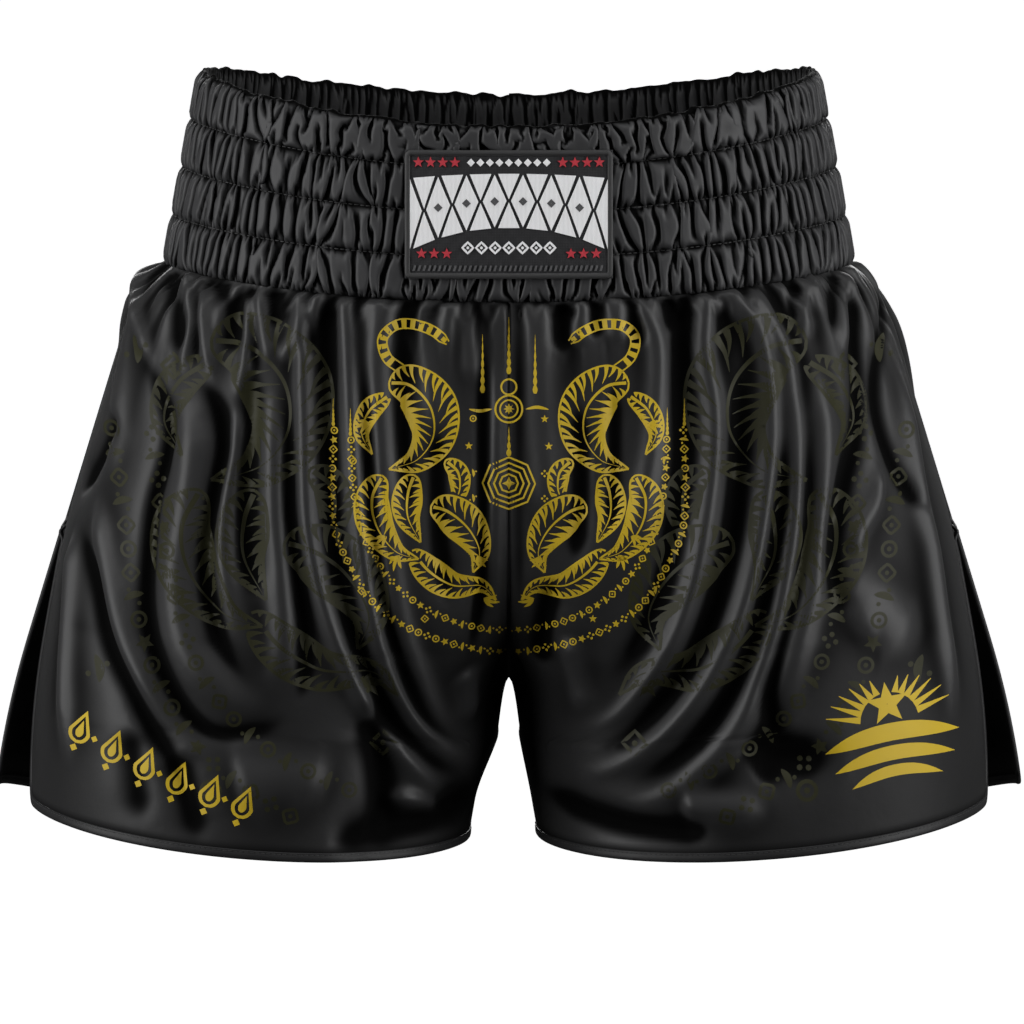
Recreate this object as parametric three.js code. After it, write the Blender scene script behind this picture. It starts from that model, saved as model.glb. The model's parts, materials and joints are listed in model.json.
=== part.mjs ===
// Muay Thai boxing shorts, filled out as if worn.
// Units are millimetres. +X is the right-hand side seen from the front, -Y is the front, +Z is up.
// The origin is the centre of the waist opening, level with the rim at the centre front.
// "left" and "right" in the names are as seen from the front.
import * as THREE from 'three';

// ---- driving dimensions -------------------------------------------------------------------------
const RIM_HALF_WIDTH = 146;        // waist opening, side to side
const RIM_HALF_DEPTH = 100;        // waist opening, front to back
const SEAM_HALF_WIDTH = 163;       // where the waistband is sewn to the panels
const SEAM_HALF_DEPTH = 106;
const BAND_HEIGHT = 85;            // waistband, centre front
const RIM_SIDE_RISE = 19;          // the rim is higher over the hips than at the centre
const SEAM_SIDE_RISE = 12;         // and so is the waist seam
const SIDE_FLARE = 12;             // quick swell of the gathers below the waist seam
const SIDE_FLARE_DROP = 9;
const SIDE_SLOPE = 0.305;          // the side line's spread per millimetre of drop
const SIDE_EASE = { from: 180, rate: 0.004 };  // and how it steepens again near the hem
const FRONT_BELLY = 7;             // extra depth of the front over the thighs
const SEAT_BELLY = 19;             // extra depth of the back over the seat
const BELLY_DROP = 105;            // drop at which both are fullest
const BELLY_LEFT_AT_HEM = 0.4;     // share of that depth which is left at the hem
const PARTING_DROP = 182;          // from the waist seam to where the two legs part
const CROTCH_POWER = 1.6;          // how late they do so
const CROTCH_SOFT = 9;             // how softly
const LEG_GAP_AT_CROTCH = 3;       // half the gap between the legs
const LEG_GAP_AT_HEM = 14;
const HEM_DROP = 268;              // waist seam to the lowest hem, centre front
const HEM_SIDE_RISE = { front: 21, back: 28 };
const HEM_INSEAM_RISE = 6;
const HEM_LENGTH = 335;            // round one panel, from the slit to the inseam
const LEG_MIDDLE = 90;             // a place inside either leg, from the centre
const SECTION_POWER = 2.3;         // superellipse power of every cross section
const SLIT_DROP = 126;             // waist seam to the top of the side slit
const SLIT_HALF_GAP = 2.5;
const SLIT_SPREAD = 0.13;          // how far the front edge stands inside the back edge, per mm
const SLIT_SOFT = 20;
const CORNER_RADIUS = { front: 20, back: 10 };
const CLOTH = 1.5;                 // panel cloth with its seam allowance
const BINDING_WIDTH = 4;
const BINDING_PROUD = 0.5;
const GAP = 0.3;                   // clearance between neighbouring pieces
const BAR_TACK = { length: 9, height: 2.4, proud: 1.2, up: 4 };
const GUSSET_HALF_LENGTH = 62;     // front to back
const GUSSET_DROP = 26;            // down each inner thigh
const GUSSET_TIP = 5;
const GUSSET_SEAM = 2.2;           // clearance of its edge in the facets of the curved panels
const CHANNELS = 4;                // elastic channels in the waistband
const BAND_WALL = 1;
const PINCH = 0.2;                 // half the space between the two walls at a row of stitches
const OUTER_PUFF = 2.2;
const INNER_PUFF = 1.5;
const ELASTIC_THICKNESS = 1.2;
const ELASTIC_SHARE = 0.6;         // of a channel's height
const THREAD = 0.6;
const LABEL_WIDTH = 99;
const LABEL_HEIGHT = 61;
const LABEL_TOP = -12.5;
const LABEL_THICKNESS = 1.2;
const LABEL_BORDER = 2.6;
const BUTTONHOLE = { x: 24, down: 0.375, length: 14, height: 6, slot: 9, slotHeight: 1.8, thick: 0.8 };
const RING_STEPS = 40;

const FINISH = {
  satin: { color: 0x0b0b0c, roughness: 0.38, metalness: 0 },
  binding: { color: 0x101012, roughness: 0.45, metalness: 0 },
  elastic: { color: 0x1a1a1b, roughness: 0.85, metalness: 0 },
  thread: { color: 0x141415, roughness: 0.6, metalness: 0 },
  label: { color: 0x101013, roughness: 0.7, metalness: 0 },
};

// ---- small helpers ------------------------------------------------------------------------------
const shorts = new THREE.Group();
const vec = (x, y, z) => new THREE.Vector3(x, y, z);
const lerp = THREE.MathUtils.lerp;
const steps = (n) => Array.from({ length: n + 1 }, (_, i) => i / n);

function add(name, geometry, finish) {
  const mesh = new THREE.Mesh(geometry, new THREE.MeshStandardMaterial(FINISH[finish]));
  mesh.name = name;
  shorts.add(mesh);
  return mesh;
}

function signedVolume(points, faces) {
  const cross = new THREE.Vector3();
  return faces.reduce((sum, [a, b, c]) =>
    sum + points[a].dot(cross.crossVectors(points[b], points[c])) / 6, 0);
}

// A closed body from its points and triangles, turned so that its faces point out.
function body(points, faces) {
  const outward = signedVolume(points, faces) > 0;
  const index = faces.flatMap(([a, b, c]) => (outward ? [a, b, c] : [a, c, b]));
  const geometry = new THREE.BufferGeometry().setFromPoints(points);
  geometry.setIndex(index);
  geometry.computeVertexNormals();
  return geometry;
}

function quad(faces, a, b, c, d) {
  faces.push([a, b, c], [a, c, d]);
}

// A sheet with thickness: two grids of the same size, joined round their edges.
function sheet(outer, inner) {
  const rows = outer.length;
  const columns = outer[0].length;
  const points = [...outer.flat(), ...inner.flat()];
  const at = (skin, r, c) => skin * rows * columns + r * columns + c;
  const faces = [];
  for (let r = 0; r + 1 < rows; r++) {
    for (let c = 0; c + 1 < columns; c++) {
      quad(faces, at(0, r, c), at(0, r, c + 1), at(0, r + 1, c + 1), at(0, r + 1, c));
      quad(faces, at(1, r, c), at(1, r + 1, c), at(1, r + 1, c + 1), at(1, r, c + 1));
    }
  }
  const edge = [];
  for (let c = 0; c < columns; c++) edge.push([0, c]);
  for (let r = 1; r < rows; r++) edge.push([r, columns - 1]);
  for (let c = columns - 2; c >= 0; c--) edge.push([rows - 1, c]);
  for (let r = rows - 2; r > 0; r--) edge.push([r, 0]);
  edge.forEach(([r, c], i) => {
    const [r2, c2] = edge[(i + 1) % edge.length];
    quad(faces, at(0, r, c), at(1, r, c), at(1, r2, c2), at(0, r2, c2));
  });
  return body(points, faces);
}

// A section swept along a route: a list of point loops, capped at both ends or closed on itself.
function sweep(loops, closed) {
  const size = loops[0].length;
  const faces = [];
  const last = closed ? loops.length : loops.length - 1;
  for (let i = 0; i < last; i++) {
    const here = i * size;
    const next = ((i + 1) % loops.length) * size;
    for (let k = 0; k < size; k++) {
      const k2 = (k + 1) % size;
      quad(faces, here + k, here + k2, next + k2, next + k);
    }
  }
  if (!closed) {
    const end = (loops.length - 1) * size;
    for (let k = 1; k + 1 < size; k++) {
      faces.push([0, k + 1, k], [end, end + k, end + k + 1]);
    }
  }
  return body(loops.flat(), faces);
}

// Radius of a unit superellipse in the direction of an angle.
function reach(angle) {
  const c = Math.abs(Math.cos(angle)) ** SECTION_POWER;
  const s = Math.abs(Math.sin(angle)) ** SECTION_POWER;
  return (c + s) ** (-1 / SECTION_POWER);
}

// The other coordinate of a point on the unit superellipse.
const partner = (v) => Math.max(0, 1 - Math.abs(v) ** SECTION_POWER) ** (1 / SECTION_POWER);

// ---- the waistband ------------------------------------------------------------------------------
const rimHeight = (across) => RIM_SIDE_RISE * across ** 2;
const seamHeight = (across) => -BAND_HEIGHT + SEAM_SIDE_RISE * across ** 2;

// A point of the band: angle round the waist, share of the way down, distance out from its middle.
function bandPoint(angle, down, out) {
  const rho = reach(angle);
  const across = rho * Math.cos(angle);
  const x = (lerp(RIM_HALF_WIDTH, SEAM_HALF_WIDTH, down) + out) * across;
  const y = -(lerp(RIM_HALF_DEPTH, SEAM_HALF_DEPTH, down) + out) * rho * Math.sin(angle);
  return vec(x, y, lerp(rimHeight(across), seamHeight(across), down));
}

const ringAngles = steps(RING_STEPS).slice(0, -1).map((t) => t * 2 * Math.PI);
const puff = (down) => Math.abs(Math.sin(CHANNELS * Math.PI * down));

// One piece of cloth folded over at the rim: an outer wall and an inner wall, open at the bottom.
function bandCasing() {
  const downs = steps(2 * CHANNELS).slice(1);
  const outerFace = (d) => [d, PINCH + BAND_WALL + OUTER_PUFF * puff(d)];
  const outerBack = (d) => [d, PINCH + OUTER_PUFF * puff(d)];
  const innerBack = (d) => [d, -PINCH - INNER_PUFF * puff(d)];
  const innerFace = (d) => [d, -PINCH - BAND_WALL - INNER_PUFF * puff(d)];
  const foldTop = 0;
  const foldUnder = BAND_WALL / BAND_HEIGHT;
  const profile = [
    ...downs.map(outerFace).reverse(),
    [foldTop, PINCH + BAND_WALL],
    [foldTop, -PINCH - BAND_WALL],
    ...downs.map(innerFace),
    ...downs.map(innerBack).reverse(),
    [foldUnder, -PINCH],
    [foldUnder, PINCH],
    ...downs.map(outerBack),
  ];
  return sweep(ringAngles.map((a) => profile.map(([d, out]) => bandPoint(a, d, out))), true);
}

function bandRing(downFrom, downTo, outFrom, outTo) {
  const corners = [[downFrom, outFrom], [downFrom, outTo], [downTo, outTo], [downTo, outFrom]];
  return sweep(ringAngles.map((a) => corners.map(([d, out]) => bandPoint(a, d, out))), true);
}

add('waistband_casing', bandCasing(), 'satin');

for (let i = 0; i < CHANNELS; i++) {
  const middle = (i + 0.5) / CHANNELS;
  const half = ELASTIC_SHARE / CHANNELS / 2;
  const t = ELASTIC_THICKNESS / 2;
  add(`waist_elastic_${i + 1}`, bandRing(middle - half, middle + half, -t, t), 'elastic');
}

for (let i = 1; i < CHANNELS; i++) {
  const down = i / CHANNELS;
  const half = THREAD / BAND_HEIGHT / 2;
  const out = PINCH + BAND_WALL + GAP + 0.1;
  add(`channel_stitching_${i}`, bandRing(down - half, down + half, out, out + THREAD), 'thread');
}

// ---- the label ----------------------------------------------------------------------------------
// A point in front of the band at a given width and height.
function labelPoint(x, z, out) {
  const down = -z / BAND_HEIGHT;
  const halfWidth = lerp(RIM_HALF_WIDTH, SEAM_HALF_WIDTH, down) + out;
  const halfDepth = lerp(RIM_HALF_DEPTH, SEAM_HALF_DEPTH, down) + out;
  return vec(x, -halfDepth * partner(x / halfWidth), z);
}

const labelBack = PINCH + BAND_WALL + OUTER_PUFF + 2 * GAP;

function labelPatch() {
  const grid = (out) => steps(4).map((v) => steps(10).map((u) =>
    labelPoint((u - 0.5) * LABEL_WIDTH, LABEL_TOP - v * LABEL_HEIGHT, out)));
  return sheet(grid(labelBack + LABEL_THICKNESS), grid(labelBack));
}

function labelBorder() {
  const halfWidth = LABEL_WIDTH / 2;
  const middle = LABEL_TOP - LABEL_HEIGHT / 2;
  const halfHeight = LABEL_HEIGHT / 2;
  const sideSteps = steps(8).slice(0, -1);
  const route = [
    ...sideSteps.map((t) => [2 * t - 1, 1]),
    [1, 1], [1, 0],
    ...sideSteps.map((t) => [1 - 2 * t, -1]),
    [-1, -1], [-1, 0],
  ];
  const out = labelBack + LABEL_THICKNESS + GAP;
  return sweep(route.map(([u, v]) => {
    const place = (inset, o) =>
      labelPoint(u * (halfWidth - inset), middle + v * (halfHeight - inset), o);
    return [
      place(0, out), place(0, out + THREAD),
      place(LABEL_BORDER, out + THREAD), place(LABEL_BORDER, out),
    ];
  }), true);
}

add('label_patch', labelPatch(), 'label');
add('label_border_stitching', labelBorder(), 'thread');

// ---- drawcord buttonholes on the inside of the front -------------------------------------------
function buttonhole() {
  const { length, height, slot, slotHeight, thick } = BUTTONHOLE;
  const box = (w, h) => [[-w, -h], [w, -h], [w, h], [-w, h]].map(([a, b]) => new THREE.Vector2(a, b));
  const shape = new THREE.Shape(box(length / 2, height / 2));
  shape.holes.push(new THREE.Path(box(slot / 2, slotHeight / 2)));
  const geometry = new THREE.ExtrudeGeometry(shape, { depth: thick, bevelEnabled: false });
  geometry.rotateX(Math.PI / 2);
  return geometry;
}

for (const [name, side] of [['left', -1], ['right', 1]]) {
  const out = -PINCH - BAND_WALL - INNER_PUFF - 3 * GAP;
  const mesh = add(`drawcord_buttonhole_${name}`, buttonhole(), 'thread');
  const place = labelPoint(side * BUTTONHOLE.x, -BAND_HEIGHT * BUTTONHOLE.down, out);
  const beside = labelPoint(side * (BUTTONHOLE.x + 1), -BAND_HEIGHT * BUTTONHOLE.down, out);
  mesh.position.set(place.x, place.y + BUTTONHOLE.thick, place.z);
  mesh.rotation.z = Math.atan2(beside.y - place.y, beside.x - place.x);
}

// ---- the legs -----------------------------------------------------------------------------------
// Every panel is described by "across", 0 at the side seam and 1 at the centre or inseam edge, and
// by "drop", the distance down from the waist seam.
function legSection(face, drop) {
  const past = drop - SLIT_DROP;
  const spread = face === 'front' ? SLIT_SPREAD * (Math.hypot(past, SLIT_SOFT) + past) / 2 : 0;
  const swell = SIDE_FLARE * (1 - Math.exp(-Math.max(0, drop) / SIDE_FLARE_DROP));
  const eased = drop - SIDE_EASE.rate * Math.max(0, drop - SIDE_EASE.from) ** 2;
  const side = SEAM_HALF_WIDTH + swell + SIDE_SLOPE * eased - spread;
  const parting = (Math.max(0, drop) / PARTING_DROP) ** CROTCH_POWER;
  const joined = side * (parting - 1) / (parting + 1);
  const low = Math.max(0, drop - PARTING_DROP) / (HEM_DROP - PARTING_DROP);
  const parted = lerp(LEG_GAP_AT_CROTCH, LEG_GAP_AT_HEM, low ** 1.5);
  const inner = (joined + parted - Math.hypot(joined - parted, CROTCH_SOFT)) / 2;
  const belly = face === 'front' ? FRONT_BELLY : SEAT_BELLY;
  const above = 1 - (1 - Math.max(0, drop) / BELLY_DROP) ** 2;
  const below = lerp(1, BELLY_LEFT_AT_HEM,
    THREE.MathUtils.smoothstep(drop, BELLY_DROP, HEM_DROP));
  const depth = SEAM_HALF_DEPTH + belly * (drop < BELLY_DROP ? above : below);
  return { middle: (side + inner) / 2, half: (side - inner) / 2, depth };
}

// Half the front-to-back length of the crotch curve at a drop.
function crotchDepth(face, drop) {
  const { middle, half, depth } = legSection(face, drop);
  return middle < half ? depth * partner(middle / half) : 0;
}

function bisect(low, high, isBelow) {
  let a = low;
  let b = high;
  for (let i = 0; i < 22; i++) {
    const m = (a + b) / 2;
    if (isBelow(m)) {
      a = m;
    } else {
      b = m;
    }
  }
  return (a + b) / 2;
}

// The drop of the crotch curve at a distance in front of or behind the crotch point.
const crotchDrop = (face, y) => bisect(0, HEM_DROP, (drop) => crotchDepth(face, drop) > y);
const gussetDrop = (y) => lerp(GUSSET_DROP, GUSSET_TIP, (y / GUSSET_HALF_LENGTH) ** 2);

// Where a panel's inner edge lies, front to back: the centre seam, the gusset, then the inseam.
function innerEdge(face, drop) {
  const tip = crotchDrop(face, GUSSET_HALF_LENGTH);
  if (drop <= tip) return crotchDepth(face, drop);
  const edgeDrop = (y) => crotchDrop(face, y) + gussetDrop(y);
  if (drop >= edgeDrop(0)) return 0;
  if (drop <= edgeDrop(GUSSET_HALF_LENGTH)) return GUSSET_HALF_LENGTH;
  return bisect(0, GUSSET_HALF_LENGTH, (y) => edgeDrop(y) > drop);
}

// across and drop give a point on the outside of a leg; inset moves its side edge forward.
function legPoint(face, side, across, drop, inset) {
  const { middle, half, depth } = legSection(face, drop);
  const edge = innerEdge(face, drop) / depth;
  const end = Math.PI - Math.atan2(edge, partner(edge)) - GAP / depth;
  const start = (GAP + inset * (1 - across) ** 8) / depth;
  const angle = lerp(start, end, across);
  const rho = reach(angle);
  const x = middle + half * rho * Math.cos(angle);
  const y = -depth * rho * Math.sin(angle);
  const top = seamHeight(reach(across * Math.PI / 2) * Math.cos(across * Math.PI / 2));
  return vec(side * x, face === 'front' ? y : -y, top - drop);
}

function hemDrop(face, across) {
  const outward = (1 + Math.cos(across * Math.PI)) / 2;
  const rise = HEM_SIDE_RISE[face] * outward ** 3 + HEM_INSEAM_RISE * (1 - outward) ** 8;
  const top = SEAM_SIDE_RISE * (reach(across * Math.PI / 2) * Math.cos(across * Math.PI / 2)) ** 2;
  return HEM_DROP + top - rise;
}

// The round corner where the slit meets the hem, pulled in by inset.
function cornerRise(face, across, inset) {
  const radius = CORNER_RADIUS[face] - inset;
  const fromSide = across * HEM_LENGTH;
  return fromSide < radius ? radius - Math.sqrt(radius ** 2 - (radius - fromSide) ** 2) : 0;
}

const slitInset = (drop, inset) => (drop > SLIT_DROP ? SLIT_HALF_GAP + inset : 0);

function surfaceNormal(at, across, drop) {
  const h = 0.002;
  const k = 0.5;
  const along = at(Math.min(1, across + h), drop).sub(at(Math.max(0, across - h), drop));
  const down = at(across, drop + k).sub(at(across, drop - k));
  const normal = along.cross(down).normalize();
  const { x, y } = at(across, drop);
  const outward = normal.x * (x - Math.sign(x) * LEG_MIDDLE) + normal.y * y;
  return outward < 0 ? normal.negate() : normal;
}

const acrossSteps = [0, 0.012, 0.03, 0.055, 0.1, 0.17, 0.26, 0.35, 0.44, 0.53, 0.62, 0.71, 0.8, 0.88,
  0.95, 1];

function panel(face, side) {
  const hemInset = BINDING_WIDTH + 3 * GAP;
  const outer = [];
  const inner = [];
  const tip = crotchDrop(face, GUSSET_HALF_LENGTH);
  const gussetEnd = crotchDrop(face, 0) + GUSSET_DROP;
  const rows = [
    ...steps(4).map((t) => () => lerp(GAP, SLIT_DROP, t)),
    ...steps(3).map((t) => () => lerp(SLIT_DROP + 1, tip, t)),
    ...steps(5).map((t) => () => lerp(tip + GUSSET_TIP, gussetEnd, t)),
    ...[0.35, 0.7, 1].map((t) => (lowest) => lerp(gussetEnd, lowest, t)),
  ];
  for (const row of rows) {
    const points = acrossSteps.map((across) => {
      const lowest = hemDrop(face, across) - cornerRise(face, across, hemInset) - hemInset;
      const drop = row(lowest);
      const at = (u, d) => legPoint(face, side, u, d, slitInset(drop, hemInset));
      return [at(across, drop), surfaceNormal(at, across, drop)];
    });
    outer.push(points.map(([p]) => p));
    inner.push(points.map(([p, n]) => p.clone().addScaledVector(n, -CLOTH)));
  }
  return sheet(outer, inner);
}

// The binding is folded over the raw edge of the slit and the hem.
function binding(face, side) {
  const radius = CORNER_RADIUS[face];
  const slitEnd = hemDrop(face, 0) - radius;
  const slit = steps(8).slice(0, -1).map((t) => [0, lerp(SLIT_DROP + 1.5, slitEnd, t)]);
  const corner = steps(6).slice(0, -1).map((t) => {
    const turn = t * Math.PI / 2;
    const across = radius * (1 - Math.cos(turn)) / HEM_LENGTH;
    return [across, hemDrop(face, across) - radius * (1 - Math.sin(turn))];
  });
  const cornerEnd = radius / HEM_LENGTH;
  const hem = steps(20).map((t) => lerp(cornerEnd, 1, t)).map((u) => [u, hemDrop(face, u)]);
  const route = [...slit, ...corner, ...hem];
  const at = (u, d) => legPoint(face, side, u, d, SLIT_HALF_GAP);
  const points = route.map(([u, d]) => at(u, d));
  const loops = route.map(([u, d], i) => {
    const before = points[Math.max(0, i - 1)];
    const after = points[Math.min(points.length - 1, i + 1)];
    const normal = surfaceNormal(at, u, d);
    const along = after.clone().sub(before).normalize();
    const inward = normal.clone().cross(along).normalize();
    const centre = at(Math.max(u, 0.3), Math.min(d, SLIT_DROP + 60));
    if (inward.dot(centre.sub(points[i])) < 0) inward.negate();
    if (i === points.length - 1) inward.set(0, 0, 1);
    const place = (w, n) => points[i].clone().addScaledVector(inward, w).addScaledVector(normal, n);
    return [
      place(0, BINDING_PROUD), place(BINDING_WIDTH, BINDING_PROUD),
      place(BINDING_WIDTH, -CLOTH - BINDING_PROUD), place(0, -CLOTH - BINDING_PROUD),
    ];
  });
  return sweep(loops, false);
}

for (const [name, side] of [['left', -1], ['right', 1]]) {
  for (const face of ['front', 'back']) {
    add(`${face}_${name}_panel`, panel(face, side), 'satin');
    add(`${face}_${name}_edge_binding`, binding(face, side), 'binding');
  }
}

// A bar of dense stitches holds the top of each slit.
for (const [name, side] of [['left', -1], ['right', 1]]) {
  const { middle, half } = legSection('back', SLIT_DROP);
  const bar = new THREE.BoxGeometry(THREAD, BAR_TACK.length, BAR_TACK.height);
  const mesh = add(`slit_bar_tack_${name}`, bar, 'thread');
  const height = seamHeight(1) - SLIT_DROP + BAR_TACK.up;
  mesh.position.set(side * (middle + half + BAR_TACK.proud), 0, height);
}

// ---- the crotch gusset --------------------------------------------------------------------------
// A long diamond folded along the crotch curve, half of it down each inner thigh.
function gusset() {
  const lengthwise = steps(18).map((t) => 2 * t - 1);
  const widthwise = steps(8).map((t) => 2 * t - 1);
  const at = (l, w) => {
    const face = l < 0 ? 'front' : 'back';
    const y = Math.abs(l) * (GUSSET_HALF_LENGTH - GUSSET_SEAM);
    const drop = crotchDrop(face, y) + Math.abs(w) * (gussetDrop(y) - GUSSET_SEAM);
    const { middle, half, depth } = legSection(face, drop);
    const x = w === 0 ? 0 : middle - half * partner(y / depth);
    return vec(Math.sign(w) * x, l < 0 ? -y : y, -BAND_HEIGHT - drop);
  };
  const h = 0.01;
  const normalAt = (l, w) => {
    const lengthways = at(Math.min(1, l + h), w).sub(at(Math.max(-1, l - h), w));
    const widthways = at(l, Math.min(1, w + h)).sub(at(l, Math.max(-1, w - h)));
    return widthways.cross(lengthways).normalize();
  };
  const skin = (thickness) => lengthwise.map((l) => widthwise.map((w) =>
    at(l, w).addScaledVector(normalAt(l, w), thickness)));
  return sheet(skin(CLOTH), skin(0));
}

add('crotch_gusset', gusset(), 'satin');

export default shorts;
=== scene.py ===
"""Muay Thai boxing shorts in black satin, filled out as worn. Lengths are in millimetres until a
mesh is made, and the frame is the CAD frame: +X right seen from the front, -Y front, +Z up."""
import json
import bpy
import numpy as np
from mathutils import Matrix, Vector
from mathutils.bvhtree import BVHTree

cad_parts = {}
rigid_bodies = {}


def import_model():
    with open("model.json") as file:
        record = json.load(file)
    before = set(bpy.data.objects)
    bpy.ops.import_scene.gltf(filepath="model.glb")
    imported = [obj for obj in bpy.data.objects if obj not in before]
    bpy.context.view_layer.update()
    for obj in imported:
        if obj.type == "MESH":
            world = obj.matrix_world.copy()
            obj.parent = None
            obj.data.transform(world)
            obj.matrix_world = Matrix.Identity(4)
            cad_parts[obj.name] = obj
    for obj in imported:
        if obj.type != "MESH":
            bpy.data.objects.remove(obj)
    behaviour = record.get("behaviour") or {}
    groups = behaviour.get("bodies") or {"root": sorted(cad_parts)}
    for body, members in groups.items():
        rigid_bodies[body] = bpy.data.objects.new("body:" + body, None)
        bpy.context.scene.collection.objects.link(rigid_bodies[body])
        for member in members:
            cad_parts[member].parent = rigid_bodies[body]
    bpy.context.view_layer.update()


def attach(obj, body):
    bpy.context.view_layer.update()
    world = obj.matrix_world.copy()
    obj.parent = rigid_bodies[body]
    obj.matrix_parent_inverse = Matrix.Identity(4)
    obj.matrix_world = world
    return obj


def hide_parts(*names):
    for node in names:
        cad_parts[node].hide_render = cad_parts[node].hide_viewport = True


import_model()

MM = 0.001

# ---- driving dimensions, as in the CAD ------------------------------------------------------------
RIM_HALF = (146.0, 100.0)          # waist opening: half width, half depth
SEAM_HALF = (163.0, 106.0)         # where the waistband meets the panels
BAND_HEIGHT = 85.0
RIM_SIDE_RISE = 19.0
SEAM_SIDE_RISE = 12.0
POWER = 2.3                        # superellipse power of every cross section
SIDE_FLARE, SIDE_FLARE_DROP = 12.0, 9.0
SIDE_SLOPE = 0.305
SIDE_EASE_FROM, SIDE_EASE_RATE = 180.0, 0.004
BELLY = {"front": 7.0, "back": 19.0}
BELLY_DROP, BELLY_LEFT_AT_HEM = 105.0, 0.4
PARTING_DROP, CROTCH_POWER, CROTCH_SOFT = 182.0, 1.6, 9.0
LEG_GAP_AT_CROTCH, LEG_GAP_AT_HEM = 3.0, 14.0
HEM_DROP = 268.0
HEM_SIDE_RISE = {"front": 21.0, "back": 28.0}
HEM_INSEAM_RISE = 6.0
HEM_LENGTH = 335.0
SLIT_DROP, SLIT_HALF_GAP, SLIT_SPREAD, SLIT_SOFT = 126.0, 2.5, 0.13, 20.0
CORNER_RADIUS = {"front": 20.0, "back": 10.0}
GUSSET_HALF_LENGTH, GUSSET_DROP, GUSSET_TIP = 62.0, 26.0, 5.0
CHANNELS = 4


def smooth(a, b, x):
    t = np.clip((x - a) / (b - a), 0.0, 1.0)
    return t * t * (3.0 - 2.0 * t)


def lerp(a, b, t):
    return a + (b - a) * t


# ---- the worn shape ---------------------------------------------------------------------------------
def reach(angle):
    """Radius of a unit superellipse in the direction of an angle."""
    return (np.abs(np.cos(angle)) ** POWER + np.abs(np.sin(angle)) ** POWER) ** (-1.0 / POWER)


def partner(v):
    """The other coordinate of a point on the unit superellipse."""
    return np.maximum(0.0, 1.0 - np.abs(v) ** POWER) ** (1.0 / POWER)


def rim_height(across):
    return RIM_SIDE_RISE * across**2


def seam_height(across):
    return -BAND_HEIGHT + SEAM_SIDE_RISE * across**2


def seam_across(share):
    """Where a share across a panel, 0 at the side and 1 at the centre, falls across the band."""
    turn = share * np.pi / 2
    return reach(turn) * np.cos(turn)


class LegFace:
    """The front or the back of a leg: its cross section at each drop below the waist seam."""

    def __init__(self, face):
        self.face = face
        self.drops = np.linspace(0.0, HEM_DROP + 30.0, 1200)
        d = self.drops
        past = d - SLIT_DROP
        spread = SLIT_SPREAD * (np.hypot(past, SLIT_SOFT) + past) / 2 if face == "front" else 0.0
        eased = d - SIDE_EASE_RATE * np.maximum(0.0, d - SIDE_EASE_FROM) ** 2
        swell = SIDE_FLARE * (1.0 - np.exp(-d / SIDE_FLARE_DROP))
        side = SEAM_HALF[0] + swell + SIDE_SLOPE * eased - spread
        parting = (d / PARTING_DROP) ** CROTCH_POWER
        joined = side * (parting - 1.0) / (parting + 1.0)
        low = np.maximum(0.0, d - PARTING_DROP) / (HEM_DROP - PARTING_DROP)
        parted = lerp(LEG_GAP_AT_CROTCH, LEG_GAP_AT_HEM, low**1.5)
        inner = (joined + parted - np.hypot(joined - parted, CROTCH_SOFT)) / 2
        above = 1.0 - (1.0 - d / BELLY_DROP) ** 2
        below = lerp(1.0, BELLY_LEFT_AT_HEM, smooth(BELLY_DROP, HEM_DROP, d))
        self.depths = SEAM_HALF[1] + BELLY[face] * np.where(d < BELLY_DROP, above, below)
        self.middles = (side + inner) / 2
        self.halves = (side - inner) / 2
        self.curve = np.where(inner < 0, self.depths * partner(self.middles / self.halves), 0.0)
        self.edges = self._inner_edges()
        y = np.minimum(self.edges / self.depths, 1.0)
        self.ends = np.pi - np.arctan2(y, partner(y))

    def curve_drop(self, y):
        """Drop of the crotch curve at a distance in front of or behind the crotch point."""
        return np.interp(-np.asarray(y, float), -self.curve[self.curve > 0],
                         self.drops[self.curve > 0])

    def _inner_edges(self):
        y = np.linspace(GUSSET_HALF_LENGTH, 0.0, 400)
        edge_drops = self.curve_drop(y) + gusset_drop(y)
        tip = float(self.curve_drop(GUSSET_HALF_LENGTH))
        on_gusset = np.interp(self.drops, edge_drops, y)
        return np.where(self.drops <= tip, self.curve, on_gusset)

    def section(self, drop):
        return [np.interp(drop, self.drops, a) for a in (self.middles, self.halves, self.depths)]

    def point(self, across, drop, inset):
        """Points of the face; inset holds its outer edge back from the side."""
        middle, half, depth = self.section(drop)
        end = np.interp(drop, self.drops, self.ends)
        start = inset * (1.0 - across) ** 8 / depth
        angle = lerp(start, end, across)
        rho = reach(angle)
        x = middle + half * rho * np.cos(angle)
        y = -depth * rho * np.sin(angle)
        if self.face == "back":
            y = -y
        top = seam_height(seam_across(across))
        return np.stack(np.broadcast_arrays(x, y, top - drop), axis=-1)


def gusset_drop(y):
    return lerp(GUSSET_DROP, GUSSET_TIP, (np.asarray(y, float) / GUSSET_HALF_LENGTH) ** 2)


LEG = {face: LegFace(face) for face in ("front", "back")}


def hem_drop(face, across):
    outward = (1.0 + np.cos(across * np.pi)) / 2
    rise = HEM_SIDE_RISE[face] * outward**3 + HEM_INSEAM_RISE * (1.0 - outward) ** 8
    return HEM_DROP + SEAM_SIDE_RISE * seam_across(across) ** 2 - rise


def edge_drop(face, across):
    """Drop of the lower edge of a panel, with its round corner at the slit."""
    radius = CORNER_RADIUS[face]
    reach_in = np.clip(radius - across * HEM_LENGTH, 0.0, radius)
    return hem_drop(face, across) - (radius - np.sqrt(radius**2 - reach_in**2))


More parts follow.
